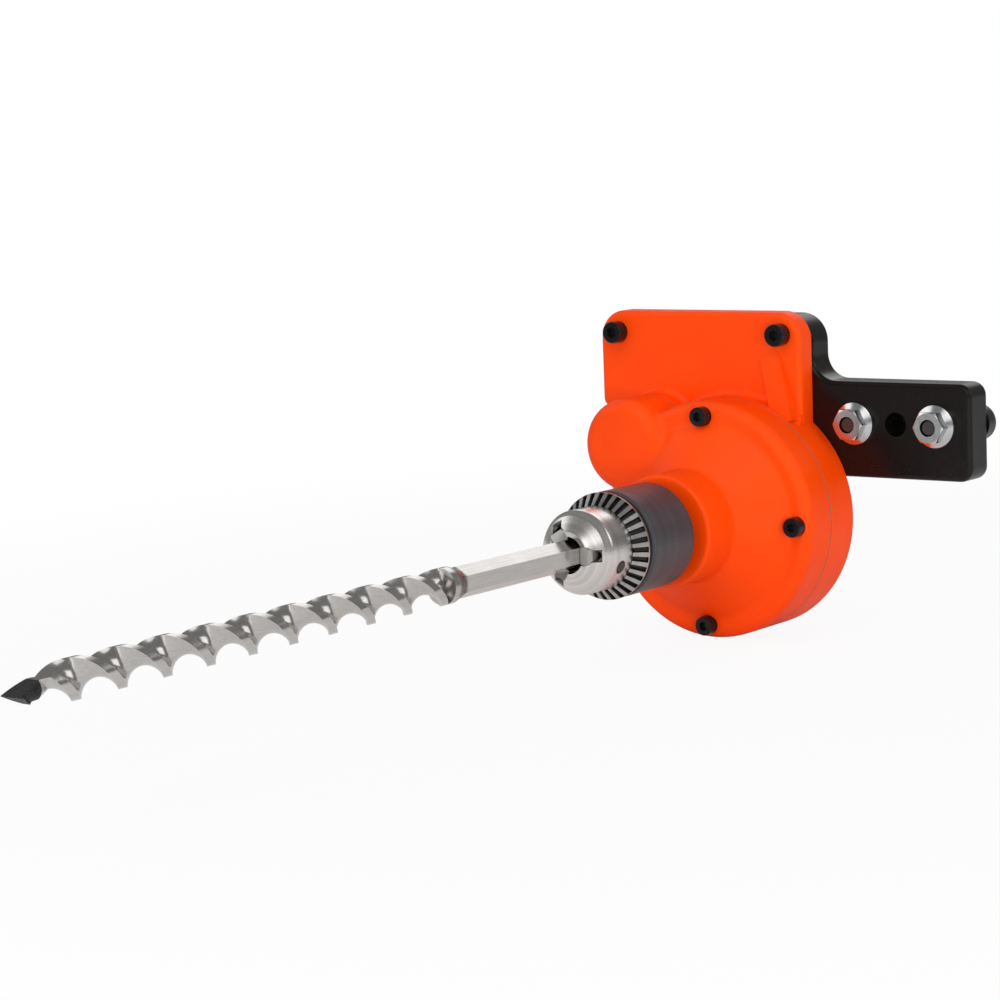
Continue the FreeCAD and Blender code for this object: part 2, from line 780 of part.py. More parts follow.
def rear_screw():
    x, z = rear_screw_place()
    seat = bracket_back - rear_screw_sink
    top = seat + plate_screw_head_height
    head = rod(plate_screw_head, seat, top, x, z)
    shank = rod(plate_screw_radius, case_back - rear_screw_reach, (seat + top) / 2, x, z)
    floor = top - plate_screw_radius * socket_depth_share
    socket = hexagon_bar(plate_screw_radius * socket_flats_share, floor, top + 1, x, z)
    return head.fuse(shank).cut(socket)


def dowel_pins():
    y0 = case_back - dowel_length / 2
    pins = [rod(dowel_radius, y0, y0 + dowel_length, x, dowel_height)
            for x in (plate_screw_left, plate_screw_right)]
    return Part.makeCompound(pins)


# Bracket and saw mounting
def bracket_outline():
    return [(plate_left, bracket_top, plate_corner), (plate_right, bracket_top, plate_corner),
            (plate_right, arm_top, arm_throat_radius), (arm_end, arm_top, arm_corner),
            (arm_end, arm_bottom, arm_corner), (plate_left, arm_bottom, plate_corner)]


def rear_pockets():
    """Weight-saving pockets in the back of the bracket, with ribs left between them."""
    y0 = case_back + pocket_floor
    rows = ((upper_pockets, dowel_height, bracket_top - bracket_edge_radius - pocket_rim),
            (lower_pockets, arm_bottom + lower_pocket_rim, dowel_height - pocket_rib))
    pockets = []
    for columns, low, high in rows:
        for a, b in columns:
            corners = [(a, low), (a, high), (b, high), (b, low)]
            pockets.append(slab([(x, z, pocket_corner) for x, z in corners], y0, bracket_back + 1))
    return pockets


def mount_bracket():
    bracket = slab(bracket_outline(), case_back, bracket_back)
    front, back = lies_at(case_back), lies_at(bracket_back)
    bracket = round_edges(bracket, bracket_edge_radius, lambda edge: front(edge) or back(edge))
    for pocket in rear_pockets():
        bracket = bracket.cut(pocket)
    seal_y = bracket_back - seal_width - seal_inset
    low, high = case_back - 1, bracket_back + 1
    bracket = bracket.cut(rod(spacer_radius + pinion_hole_gap, low, high, pinion_x, pinion_z))
    bracket = bracket.cut(rod(spacer_radius + seal_wall, seal_y, high, pinion_x, pinion_z))
    screw_end = bracket_back - plate_screw_end_wall + screw_hole_spare
    dowel_end = case_back + dowel_length / 2 + dowel_hole_spare
    for x in (plate_screw_left, plate_screw_right):
        bracket = bracket.cut(rod(plate_screw_radius + seat_gap, low, screw_end, x, plate_screw_height))
        bracket = bracket.cut(rod(dowel_radius + seat_gap, low, dowel_end, x, dowel_height))
    x, z = rear_screw_place()
    bracket = bracket.cut(rod(plate_screw_radius + screw_clearance, low, bracket_back, x, z))
    head_seat = bracket_back - rear_screw_sink
    bracket = bracket.cut(rod(plate_screw_head + screw_clearance, head_seat, high, x, z))
    for x in stud_places():
        bracket = bracket.cut(rod(stud_shank_radius + screw_clearance, low, high, x, stud_height))
    return bracket.cut(rod(tension_hole_radius, low, high, stud_middle_x, stud_height))


def stud_places():
    return stud_middle_x - stud_spacing / 2, stud_middle_x + stud_spacing / 2


def bar_plate():
    """The steel tail plate that lies behind the arm and is clamped with it."""
    half = bar_height / 2
    plate = slab([(bar_left, stud_height - half, half), (bar_right, stud_height - half, half),
                  (bar_right, stud_height + half, half), (bar_left, stud_height + half, half)],
                 bracket_back, mount_plane)
    for x in stud_places():
        plate = plate.cut(rod(stud_shank_radius + screw_clearance, bracket_back - 1, mount_plane + 1, x,
                              stud_height))
    return plate


def mount_stud(x):
    """A stud with a plain shank in the plates, and a thread at each end."""
    front = case_back - nut_height + stud_nut_inset
    back = mount_plane + stud_reach
    shank = case_back + stud_nut_inset
    return turned([(0, front, 0), (nut_thread_radius - stud_chamfer, front, 0),
                   (nut_thread_radius, front + stud_chamfer, 0), (nut_thread_radius, shank, 0),
                   (stud_shank_radius, shank, 0), (stud_shank_radius, mount_plane, 0),
                   (stud_radius, mount_plane, 0), (stud_radius, back - stud_chamfer, 0),
                   (stud_radius - stud_chamfer, back, 0), (0, back, 0)],
                  x, stud_height)


def mount_studs():
    return Part.makeCompound([mount_stud(x) for x in stud_places()])


def flange_nut(x, z):
    """A hexagon nut with a round flange under it, chamfered at its outer corners."""
    y0, y1 = case_back - nut_height, case_back
    corner = nut_flats / math.sqrt(3)
    nut = hexagon_bar(nut_flats, y0, y1 - nut_flange_height / 2, x, z, 30)
    edge = corner + nut_corner_spare
    nut = nut.common(turned([(0, y0, 0), (corner - nut_chamfer, y0, 0), (edge, y0 + nut_chamfer, 0),
                             (edge, y1, 0), (0, y1, 0)], x, z))
    rim = y1 - nut_flange_height
    slope = rim - nut_flange_slope
    flange = turned([(0, slope, 0), (nut_flats / 2, slope, 0), (nut_flange_radius, rim, 0),
                     (nut_flange_radius, y1, 0), (0, y1, 0)], x, z)
    return nut.fuse(flange).cut(rod(nut_thread_radius + seat_gap, y0 - 1, y1 + 1, x, z))


def flange_nuts():
    return Part.makeCompound([flange_nut(x, stud_height) for x in stud_places()])


# Chuck
def jaw_line(y):
    """How far a jaw's axis is from the spindle axis at y."""
    at_nut_back = sleeve_bore - seat_gap - nut_back_wall - jaw_flat_reach()
    return at_nut_back + (y - nut_back) * math.tan(math.radians(jaw_tilt))


def jaw_flat_reach():
    """How far a jaw's flat thread side lies outside its axis, measured across the spindle."""
    return jaw_back_flat / math.cos(math.radians(jaw_tilt))


def jaw_bar(radius, y0, y1):
    """A round bar along a jaw's axis, above the +X side of the spindle."""
    start = V(jaw_line(y0), y0, 0)
    way = V(jaw_line(y1) - jaw_line(y0), y1 - y0, 0)
    return Part.makeCylinder(radius, way.Length, start, way)


def chuck_body():
    shoulder = ring_front - shoulder_gap
    cone_foot = nose_face + nose_cone_length
    body = turned([(0, chuck_seat, 0), (body_rear_radius, chuck_seat, body_back_corner),
                   (body_rear_radius, shoulder, 0), (body_front_radius, shoulder, body_step_corner),
                   (body_front_radius, cone_foot + nose_taper_length, nose_taper_blend),
                   (nose_radius, cone_foot, nose_shoulder_blend), (nose_bore_radius, nose_face, 0),
                   (0, nose_face, 0)])
    body = body.cut(rod(bit_bore_radius, nose_face - 1, bit_bore_end))
    body = body.cut(rod(nose_mouth_radius, nose_face - 1, nose_face + nose_mouth_depth))
    body = body.cut(rod(spindle_nose_radius + seat_gap, nose_end, chuck_seat + 1))
    body = body.cut(rod(chuck_screw_radius + screw_clearance, nose_face, chuck_seat))
    bore = jaw_bar(jaw_radius + jaw_play, nose_face - nose_cone_length, jaw_end + jaw_run_out)
    for k in range(jaw_count):
        body = body.cut(spun(bore, 360 * k / jaw_count))
        body = body.cut(spun(nose_groove(), 360 * k / jaw_count))
        body = body.cut(spun(key_hole(), key_hole_angle + 360 * k / jaw_count))
    return body


def nose_groove():
    """A round-bottomed groove down the nose cone, in line with a jaw."""
    mouth = V(nose_bore_radius, nose_face, 0)
    way = V(nose_radius, nose_face + nose_cone_length, 0) - mouth
    lift = V(way.y, -way.x, 0).normalize() * (nose_groove_radius - nose_groove_depth)
    start = V(nose_mouth_radius, nose_face, 0) + lift
    return Part.makeCylinder(nose_groove_radius, way.Length, start, way)


def key_hole():
    """A blind pilot hole for the chuck key, in front of the toothed ring."""
    floor = V(key_hole_floor, nose_face + key_hole_back, 0)
    return Part.makeCylinder(key_hole_radius, key_hole_depth + 1, floor, V(1, 0, 0))


def chuck_screw():
    head_front = bit_bore_end - chuck_screw_head_height
    head = rod(chuck_screw_head_radius, head_front, bit_bore_end)
    shank = rod(chuck_screw_radius, bit_bore_end - 1, nose_end + chuck_screw_reach)
    socket = hexagon_bar(chuck_screw_radius * socket_flats_share, head_front - 1,
                         head_front + chuck_screw_socket_depth)
    return head.fuse(shank).cut(socket)


def jaw(k):
    """A jaw: a round bar with its thread side flattened and its grip cut parallel to the spindle."""
    bar = jaw_bar(jaw_radius, nose_face + jaw_setback, jaw_end)
    grip = shank_flats / 2 + running_gap
    wide = sleeve_radius
    bar = bar.cut(block(-wide, grip, nose_face - 1, chuck_seat, -wide, wide))
    back = block(jaw_back_flat, wide, -body_length, body_length, -wide, wide)
    back.rotate(V(0, 0, 0), V(0, 0, 1), -jaw_tilt)
    back.translate(V(jaw_line(nose_face), nose_face, 0))
    return spun(bar.cut(back), 360 * k / jaw_count)


def jaw_nut():
    """The cone-bored nut that turns with the sleeve and drives the jaws."""
    outside = sleeve_bore - seat_gap
    clear = jaw_flat_reach() + nut_thread_gap
    return turned([(jaw_line(nut_front) + clear, nut_front, 0), (outside, nut_front, 0),
                   (outside, nut_back, 0), (jaw_line(nut_back) + clear, nut_back, 0)])


def chuck_sleeve():
    run = body_rear_radius + running_gap
    step = chuck_back - sleeve_grip_length
    groove = sleeve_front + sleeve_groove_inset
    floor = sleeve_radius - sleeve_groove_depth
    half = sleeve_groove_width / 2
    return turned([(run, chuck_back, 0), (sleeve_radius - sleeve_back_drop, chuck_back, sleeve_back_corner),
                   (sleeve_radius, chuck_back - sleeve_back_taper, sleeve_taper_corner),
                   (sleeve_radius, groove + half + sleeve_groove_depth, 0), (floor, groove + half, 0),
                   (floor, groove - half, 0), (sleeve_radius, groove - half - sleeve_groove_depth, 0),
                   (sleeve_radius, sleeve_front, sleeve_front_corner), (sleeve_bore, sleeve_front, 0),
                   (sleeve_bore, step, 0), (run, step - sleeve_wall, 0)])


def ring_blank():
    """The toothed ring before its teeth are cut: a cone in front, and a tongue that sits in the sleeve."""
    run = body_rear_radius + running_gap
    edge = sleeve_radius + ring_lip
    tongue = sleeve_front + ring_tongue
    inside = run + ring_tongue_wall
    return turned([(run, ring_front, 0), (body_front_radius + ring_lip, ring_front, 0),
                   (edge, sleeve_front - ring_rim, 0), (edge, sleeve_front, 0),
                   (sleeve_bore - seat_gap, sleeve_front, 0), (sleeve_bore - seat_gap, tongue, 0),
                   (inside, tongue, 0), (inside, sleeve_front - ring_rim / 2, 0),
                   (run, sleeve_front - ring_rim, 0)])


def tooth_gap():
    """The tapered gap between two ring teeth: wider at the rim, cut square to the ring's cone."""
    inner = V(body_front_radius + ring_lip, ring_front, 0)
    outer = V(sleeve_radius + ring_lip, sleeve_front - ring_rim, 0)
    way = (outer - inner).normalize()
    out = V(way.y, -way.x, 0)
    wires = []
    for end, share in ((inner - way * ring_tooth_depth, body_front_radius / sleeve_radius), (outer, 1.0)):
        mouth = V(0, 0, ring_gap_mouth * share)
        floor = V(0, 0, ring_gap_floor * share)
        high = end + out * ring_tooth_depth
        deep = end - out * ring_tooth_depth
        corners = [high - mouth, high + mouth, deep + floor, deep - floor]
        wires.append(Part.makePolygon(corners + [corners[0]]))
    return Part.makeLoft(wires, True, True)


def toothed_ring():
    """The bevel-toothed ring that the chuck key turns."""
    toothed, gap = ring_blank(), tooth_gap()
    for k in range(ring_teeth):
        toothed = toothed.cut(spun(gap, 360 * k / ring_teeth))
    return toothed


# Auger bit
def flight_section(y, phase):
    """The section of the twisted part: two lands joined by a thin web."""
    land = math.radians(flight_land_angle)
    turn = math.radians(phase)

    def point(radius, angle):
        return V(radius * math.cos(angle + turn), y, radius * math.sin(angle + turn))

    edges = []
    for half in (0, math.pi):
        edges.append(Part.Arc(point(flight_radius, half - land), point(flight_radius, half),
                              point(flight_radius, half + land)).toShape())
        start = point(flight_radius, half + land)
        web = point(flight_web, half + math.pi / 2)
        end = point(flight_radius, half + math.pi - land)
        edges.append(Part.Arc(start, web, end).toShape())
    return Part.Wire(Part.__sortEdges__(edges))


def flights():
    """The twisted length, run on past the point: one section turned steadily along the spindle."""
    length = flight_length + tip_length + point_spare
    spine = Part.Wire([Part.LineSegment(V(0, flight_start, 0), V(0, flight_start - length, 0)).toShape()])
    helix = Part.makeHelix(flight_lead, length, flight_radius * 2)
    helix.rotate(V(0, 0, 0), V(1, 0, 0), 90)
    helix.translate(V(0, flight_start, 0))
    sweep = Part.BRepOffsetAPI.MakePipeShell(spine)
    sweep.setAuxiliarySpine(Part.Wire(helix.Edges), True, 0)
    sweep.add(flight_section(flight_start, flight_phase), False, False)
    sweep.build()
    sweep.makeSolid()
    return sweep.shape()


def point_core():
    """The core that thickens from inside the web into the point."""
    start = V(0, flight_end + point_core_run, 0)
    core = Part.makeCone(point_core_start, point_core_radius, point_core_run, start, V(0, -1, 0))
    return core.fuse(rod(point_core_radius, flight_end - tip_length - point_spare, flight_end))


def ground_twist(y0, y1):
    """The twisted length between y0 and y1, with its point ground."""
    keep = point_shape(y0, y1)
    return flights().common(keep).fuse(point_core().common(keep))


def point_shape(y0, y1):
    """The side profile that the point is ground to, between y0 and y1, as a slab along X."""
    end, back = flight_end - tip_length, flight_start + 1
    edge, reach = flight_radius + 1, 2 * flight_radius
    profile = [V(-reach, back, edge), V(-reach, end + point_taper_length, edge), V(-reach, end, -point_drop),
               V(-reach, end + point_heel_back, -point_heel),
               V(-reach, end + point_relief_back, -point_relief),
               V(-reach, end + point_relief_back + point_relief, -edge), V(-reach, back, -edge)]
    side = Part.Face(Part.makePolygon(profile + [profile[0]])).extrude(V(2 * reach, 0, 0))
    return side.common(block(-reach, reach, y0, y1, -reach, reach))


def auger_bit():
    shank = hexagon_bar(shank_flats, shank_end, bit_bore_end - shank_end_gap)
    neck = shank_flats / 2
    collar = turned([(0, flight_start, 0), (flight_radius, flight_start, 0),
                     (flight_radius, shank_end - collar_cone, collar_corner),
                     (neck, shank_end + collar_cone / 2, 0),
                     (0, shank_end + collar_cone / 2, 0)])
    return shank.fuse(collar).fuse(ground_twist(flight_end, flight_start + 1))


def auger_tip():
    """The dark point of the auger, carried on from one flight."""
    return ground_twist(flight_end - tip_length - 1, flight_end)


def pieces():
    """Every piece by name, about the spindle."""
    made = {
        "front_cover": front_cover(),
        "rear_casing": rear_casing(),
        "cover_gasket": cover_gasket(),
        "cover_screws": cover_screws(),
        "plate_screws": plate_screws(),
        "rear_screw": rear_screw(),
        "dowel_pins": dowel_pins(),
        "mount_bracket": mount_bracket(),
        "bar_plate": bar_plate(),
        "mount_studs": mount_studs(),
        "flange_nuts": flange_nuts(),
        "spindle": spindle(),
        "drive_gear": drive_gear(),
        "gear_key": gear_key(),
        "gear_circlip": circlip(),
        "pinion_shaft": pinion_shaft(),
        "drive_sprocket": drive_sprocket(),
        "sprocket_key": sprocket_key(),
        "sprocket_spacer": sprocket_spacer(),
        "sprocket_washer": sprocket_washer(),
        "sprocket_nut": sprocket_nut(),
        "chuck_body": chuck_body(),
        "chuck_screw": chuck_screw(),
        "chuck_sleeve": chuck_sleeve(),
        "toothed_ring": toothed_ring(),
        "jaw_nut": jaw_nut(),
        "auger_bit": auger_bit(),
        "auger_tip": auger_tip(),
    }
    for k in range(jaw_count):
        made["jaw_" + str(k + 1)] = jaw(k)
    seats = {
        "spindle_front_bearing": (front_bearing, front_bearing_y, 0, 0),
        "spindle_rear_bearing": (rear_bearing, rear_bearing_y, 0, 0),
        "pinion_front_bearing": (pinion_front_bearing, pinion_front_bearing_y, pinion_x, pinion_z),
        "pinion_rear_bearing": (pinion_rear_bearing, rear_bearing_y, pinion_x, pinion_z),
    }
    for name, (sizes, y0, x, z) in seats.items():
        made[name + "_outer"], made[name + "_inner"] = bearing(sizes, y0, x, z)
    made["spindle_seal"] = lip_seal(front_bearing[0], front_bearing[1] - seal_seat_step, -boss_length,
                                    seal_width)
    made["pinion_seal"] = lip_seal(spacer_radius, spacer_radius + seal_wall,
                                   bracket_back - seal_width - seal_inset, seal_width, pinion_x, pinion_z)
    return made


def main():
    os.makedirs("parts", exist_ok=True)
    origin = V(stud_middle_x, mount_plane, stud_height)
    for name, shape in pieces().items():
        shape.translate(origin * -1)
        shape.exportStep("parts/" + name + ".step")


main()
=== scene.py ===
"""A chainsaw auger attachment: an orange gear case on a black arm, a keyed drill chuck and a long auger bit.

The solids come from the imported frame. This script gives them their finishes, makes the threaded studs, and
sets the floor, the lamps and the camera. Lengths are in metres unless a name says otherwise.
"""

import json
import math

import bmesh
import bpy
from bpy.props import FloatProperty, FloatVectorProperty, IntProperty, PointerProperty
from mathutils import Matrix, Vector


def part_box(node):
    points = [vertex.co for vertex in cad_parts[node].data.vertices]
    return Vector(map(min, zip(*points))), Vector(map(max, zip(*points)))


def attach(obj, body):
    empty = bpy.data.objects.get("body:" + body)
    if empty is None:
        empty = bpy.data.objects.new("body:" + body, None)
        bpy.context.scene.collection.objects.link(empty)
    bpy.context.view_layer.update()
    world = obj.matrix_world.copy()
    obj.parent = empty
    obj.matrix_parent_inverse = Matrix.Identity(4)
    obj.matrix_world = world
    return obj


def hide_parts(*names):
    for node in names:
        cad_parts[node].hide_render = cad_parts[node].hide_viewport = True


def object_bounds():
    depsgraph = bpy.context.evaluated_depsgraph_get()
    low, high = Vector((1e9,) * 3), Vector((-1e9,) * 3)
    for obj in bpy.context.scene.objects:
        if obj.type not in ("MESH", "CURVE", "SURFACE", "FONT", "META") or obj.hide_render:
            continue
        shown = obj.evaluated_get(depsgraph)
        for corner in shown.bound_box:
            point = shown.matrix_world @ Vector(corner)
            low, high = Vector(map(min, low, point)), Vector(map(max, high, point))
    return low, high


bl_info = {
    "name": "Auger Attachment",
    "version": (1, 0, 0),
    "blender": (4, 5, 0),
    "location": "3D View > Sidebar > Auger",
    "description": "Dresses and lights a chainsaw auger attachment",
    "category": "Object",
}

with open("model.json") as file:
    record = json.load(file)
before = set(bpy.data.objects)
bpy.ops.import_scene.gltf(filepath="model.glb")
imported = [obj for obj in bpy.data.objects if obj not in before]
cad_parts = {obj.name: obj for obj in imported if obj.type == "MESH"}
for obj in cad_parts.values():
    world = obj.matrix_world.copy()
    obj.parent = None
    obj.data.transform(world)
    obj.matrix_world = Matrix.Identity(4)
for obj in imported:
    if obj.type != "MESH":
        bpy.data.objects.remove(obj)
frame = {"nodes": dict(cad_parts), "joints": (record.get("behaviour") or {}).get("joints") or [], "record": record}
cad_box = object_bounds()
joints = {joint["name"]: joint for joint in frame["joints"]}
mounts = {mount["name"]: mount for mount in frame["record"]["mounts"]}

# The spindle axis meets the flat face of the front cover here.
face_centre = Vector(joints["spindle_turn"]["pos_m"])

# Along the spindle axis from that point: where the auger's shank ends in its collar.
COLLAR_PLACE = -0.1845
# Distances from the middle of the collar between which its dark shade fades out.
COLLAR_SHADE = (0.002, 0.004)
# Depth of the plain rim between the ring's teeth and the sleeve.
RING_RIM = 0.001
# Depths under the tooth tops between which shade is painted into the gaps of the toothed ring.
TOOTH_GAP = (-0.0010, -0.00025)
# Distances from the sleeve's end between which the shade of its groove fades out.
SLEEVE_GROOVE = (0.0012, 0.0022)
# Where a thread's crest begins and ends, as shares of its pitch.
CREST = (0.42, 0.58)
# How many thread depths the foot of the ridge lies under its crest, so that it is buried in the stud.
RIDGE_SINK = 1.1
# Distances from the point under the frame's origin between which the floor fades to plain white.
FLOOR_FADE = (0.35, 0.8)
# The floor lies this far under the lowest point.
FLOOR_GAP = 0.0005
FLOOR_HALF_WIDTH = 6.0
# How the studio's bright panels fade out: at the foot and the top by the height of a direction, on its
# scale from -1 to 1, and at the sides by the wave round the studio.
PANEL_FOOT = (0.22, 0.32)
PANEL_TOP = (0.62, 0.75)
PANEL_SIDE = (-0.35, 0.35)
# One minus the product of the rounded and the true normal, where the rubbing of an edge begins and is full.
EDGE_TURN = (0.01, 0.14)
# The share of the view round a point that is closed off where a recess begins and where it is full.
CLOSED_SHARE = (0.25, 0.85)
# The parts of a noise's range over which a tone, a patch of wear and a smudge go from none to full.
MIDTONES = (0.3, 0.7)
WEAR_PATCH = (0.35, 0.65)
SMUDGE_PATCH = (0.5, 0.85)
# The distances from a cell's middle, in cells, between which a pit ends.
PIT_EDGE = (0.1, 0.45)
WHITE = (1.0, 1.0, 1.0, 1.0)
CARD_BLACK = (0.01, 0.01, 0.01, 1.0)
SENSOR_WIDTH_MM = 36.0


class AugerPaint(bpy.types.PropertyGroup):
    """Colours and wear of the painted parts."""

    orange: FloatVectorProperty(
        name="Case Orange", description="Gloss paint on the gear case", subtype="COLOR",
        default=(1.0, 0.066, 0.0), min=0, max=1)
    black: FloatVectorProperty(
        name="Arm Black", description="Gloss paint on the mounting arm", subtype="COLOR",
        default=(0.005, 0.0035, 0.003), min=0, max=1)
    peel_scale: FloatProperty(
        name="Peel Scale", description="Bumps per metre of the paint's orange peel", default=650.0, min=1)
    wear: FloatProperty(
        name="Edge Wear", description="How much paint is rubbed at the edges", subtype="FACTOR",
        default=0.25, min=0, max=1)


class AugerSteel(bpy.types.PropertyGroup):
    """Colours of the bare and blackened metals."""

    bright: FloatVectorProperty(
        name="Bright Steel", description="Ground and polished steel", subtype="COLOR",
        default=(0.62, 0.60, 0.58), min=0, max=1)
    sleeve: FloatVectorProperty(
        name="Sleeve Grey", description="Satin dark finish of the chuck's sleeve", subtype="COLOR",
        default=(0.080, 0.083, 0.092), min=0, max=1)
    oxide: FloatVectorProperty(
        name="Black Oxide", description="Oiled black finish of the screws", subtype="COLOR",
        default=(0.020, 0.019, 0.020), min=0, max=1)


class AugerThreads(bpy.types.PropertyGroup):
    """The two saw studs and their screw threads."""

    pitch: FloatProperty(
        name="Pitch", description="Distance from one thread to the next", subtype="DISTANCE",
        default=0.00125, min=0.0003)
    depth: FloatProperty(
        name="Depth", description="Depth of the thread", subtype="DISTANCE", default=0.0005, min=0.0001)
    chamfer: FloatProperty(
        name="Chamfer", description="Chamfer at the stud ends", subtype="DISTANCE", default=0.0006, min=0)
    nut_thread: FloatProperty(
        name="Nut Thread", description="Radius of the thread in the nuts", subtype="DISTANCE",
        default=0.0037, min=0.001)
    shank: FloatProperty(
        name="Shank", description="Radius of the plain shank in the arm", subtype="DISTANCE",
        default=0.0045, min=0.001)
    nut_end: FloatProperty(
        name="Nut End", description="Length of the end in the nut", subtype="DISTANCE",
        default=0.008, min=0.001)
    sides: IntProperty(
        name="Sides", description="Flat sides in each turn of a thread", default=40, min=12, max=96)


class AugerStage(bpy.types.PropertyGroup):
    """Floor, lamps and camera."""

    floor_colour: FloatVectorProperty(
        name="Floor", description="Pale floor and backdrop", subtype="COLOR",
        default=(0.75, 0.75, 0.75), min=0, max=1)
    floor_white: FloatProperty(
        name="Floor White", description="How much of the floor is plain white to the camera", subtype="FACTOR",
        default=0.92, min=0, max=1)
    floor_reflected: FloatProperty(
        name="Floor Reflected", description="How much of that white the steel reflects", subtype="FACTOR",
        default=0.1, min=0, max=1)
    ambient: FloatProperty(
        name="Ambient", description="Strength of the even light from all round", default=0.5, min=0)
    sky_light: FloatProperty(
        name="Sky Light", description="Strength of the bright panels that the steel reflects",
        default=1.35, min=0)
    gap_light: FloatProperty(
        name="Gap Light", description="Share of the light that the gaps between the panels have",
        subtype="FACTOR", default=0.16, min=0, max=1)
    panels: FloatProperty(
        name="Panels", description="Number of bright panels round the studio", default=4.0, min=1)
    key_light: FloatProperty(
        name="Key Light", description="Power of the large lamp above, which the side and back lamps follow",
        subtype="POWER", unit="POWER", default=6.0, min=0)
    fill_light: FloatProperty(
        name="Fill Light", description="Power of the lamp in front, which the low one follows", subtype="POWER",
        unit="POWER", default=4.5, min=0)
    lens: FloatProperty(
        name="Lens", description="Focal length of the camera in millimetres", subtype="DISTANCE_CAMERA",
        default=103.8, min=10)
    camera_offset: FloatVectorProperty(
        name="Camera Place", description="From the middle of the cover's face to the camera",
        subtype="TRANSLATION", unit="LENGTH", default=(0.69546, -1.06573, 0.18393))
    camera_turn: FloatVectorProperty(
        name="Camera Turn", description="Camera yaw, downward pitch and roll", subtype="EULER",
        unit="ROTATION", default=(math.radians(37.232), math.radians(7.672), math.radians(-2.229)))


# Node helpers
def set_or_link(tree, socket, value):
    """Gives a socket a value, or links another socket to it."""
    if isinstance(value, bpy.types.NodeSocket):
        tree.links.new(value, socket)
    else:
        socket.default_value = value


def add(tree, kind, inputs=None, **settings):
    """A shader node with its settings, and its inputs either set or linked."""
    node = tree.nodes.new("ShaderNode" + kind)
    for name, value in settings.items():
        setattr(node, name, value)
    for name, value in (inputs or {}).items():
        set_or_link(tree, node.inputs[name], value)
    return node


def math_node(tree, operation, *values):
    """The result of a Math node on one, two or three numbers or sockets."""
    return add(tree, "Math", dict(enumerate(values)), operation=operation).outputs[0]


def ranged(tree, value, low, high, to_low=0.0, to_high=1.0):
    """A value mapped smoothly from one range to another."""
    node = add(tree, "MapRange", {"Value": value, "From Min": low, "From Max": high,
                                  "To Min": to_low, "To Max": to_high}, interpolation_type="SMOOTHSTEP")
    return node.outputs["Result"]


def mixed(tree, factor, one, two):
    """A colour mixed between two."""
    node = add(tree, "Mix", {0: factor}, data_type="RGBA")
    for index, value in ((6, one), (7, two)):
        colour = value if isinstance(value, bpy.types.NodeSocket) else (*value, 1.0)
        set_or_link(tree, node.inputs[index], colour)
    return node.outputs[2]


def noise(tree, vector, scale, detail, **inputs):
    """The grey value of a noise in space."""
    values = {"Vector": vector, "Scale": scale, "Detail": detail, **inputs}
    return add(tree, "TexNoise", values).outputs["Fac"]


def axis_distance(tree, parts):
    """How far a point lies from the Y axis, from its separate coordinates."""
    square = math_node(tree, "MULTIPLY_ADD", parts["X"], parts["X"],
                       math_node(tree, "MULTIPLY", parts["Z"], parts["Z"]))
    return math_node(tree, "SQRT", square)


def new_group(name, inputs, outputs):
    """An empty node group with named sockets, and its input and output nodes."""
    tree = bpy.data.node_groups.new(name, "ShaderNodeTree")
    for label, kind, value in inputs:
        socket = tree.interface.new_socket(label, in_out="INPUT", socket_type="NodeSocket" + kind)
        if value is not None:
            socket.default_value = value
    for label in outputs:
        tree.interface.new_socket(label, in_out="OUTPUT", socket_type="NodeSocketFloat")
    return tree, tree.nodes.new("NodeGroupInput").outputs, tree.nodes.new("NodeGroupOutput").inputs


def edge_wear_group():
    """A mask of rubbed edges, broken up by a noise."""
    tree, inside, out = new_group(
        "Edge Wear", [("Vector", "Vector", None), ("Radius", "Float", 0.0006), ("Breakup", "Float", 700.0),
                      ("Amount", "Float", 0.5)], ["Mask"])
    rounded = add(tree, "Bevel", {"Radius": inside["Radius"]}, samples=6).outputs[0]
    normal = add(tree, "NewGeometry").outputs["Normal"]
    facing = add(tree, "VectorMath", {0: rounded, 1: normal}, operation="DOT_PRODUCT").outputs["Value"]
    edge = ranged(tree, math_node(tree, "SUBTRACT", 1.0, facing), *EDGE_TURN)
    patch = ranged(tree, noise(tree, inside["Vector"], inside["Breakup"], detail=4.0), *WEAR_PATCH)
    rubbed = math_node(tree, "MULTIPLY", edge, math_node(tree, "MULTIPLY", patch, inside["Amount"]))
    tree.links.new(rubbed, out["Mask"])
    return tree


def recess_group():
    """A mask of narrow recesses, where shade is painted in."""
    tree, inside, out = new_group("Recess", [("Reach", "Float", 0.002), ("Strength", "Float", 1.0)], ["Mask"])
    open_sky = add(tree, "AmbientOcclusion", {"Distance": inside["Reach"]}, samples=8).outputs["AO"]
    closed = ranged(tree, math_node(tree, "SUBTRACT", 1.0, open_sky), *CLOSED_SHARE)
    tree.links.new(math_node(tree, "MULTIPLY", closed, inside["Strength"]), out["Mask"])
    return tree


def peel_group():
    """The soft orange peel of sprayed paint, with a slower wave under it."""
    tree, inside, out = new_group("Orange Peel", [("Vector", "Vector", None), ("Scale", "Float", 650.0)],
                                  ["Height", "Wave"])
    fine = noise(tree, inside["Vector"], inside["Scale"], detail=1.5, Roughness=0.4)
    slow = noise(tree, inside["Vector"], math_node(tree, "MULTIPLY", inside["Scale"], 0.06), detail=2.0)
    tree.links.new(math_node(tree, "MULTIPLY_ADD", slow, 0.6, fine), out["Height"])
    tree.links.new(slow, out["Wave"])
    return tree


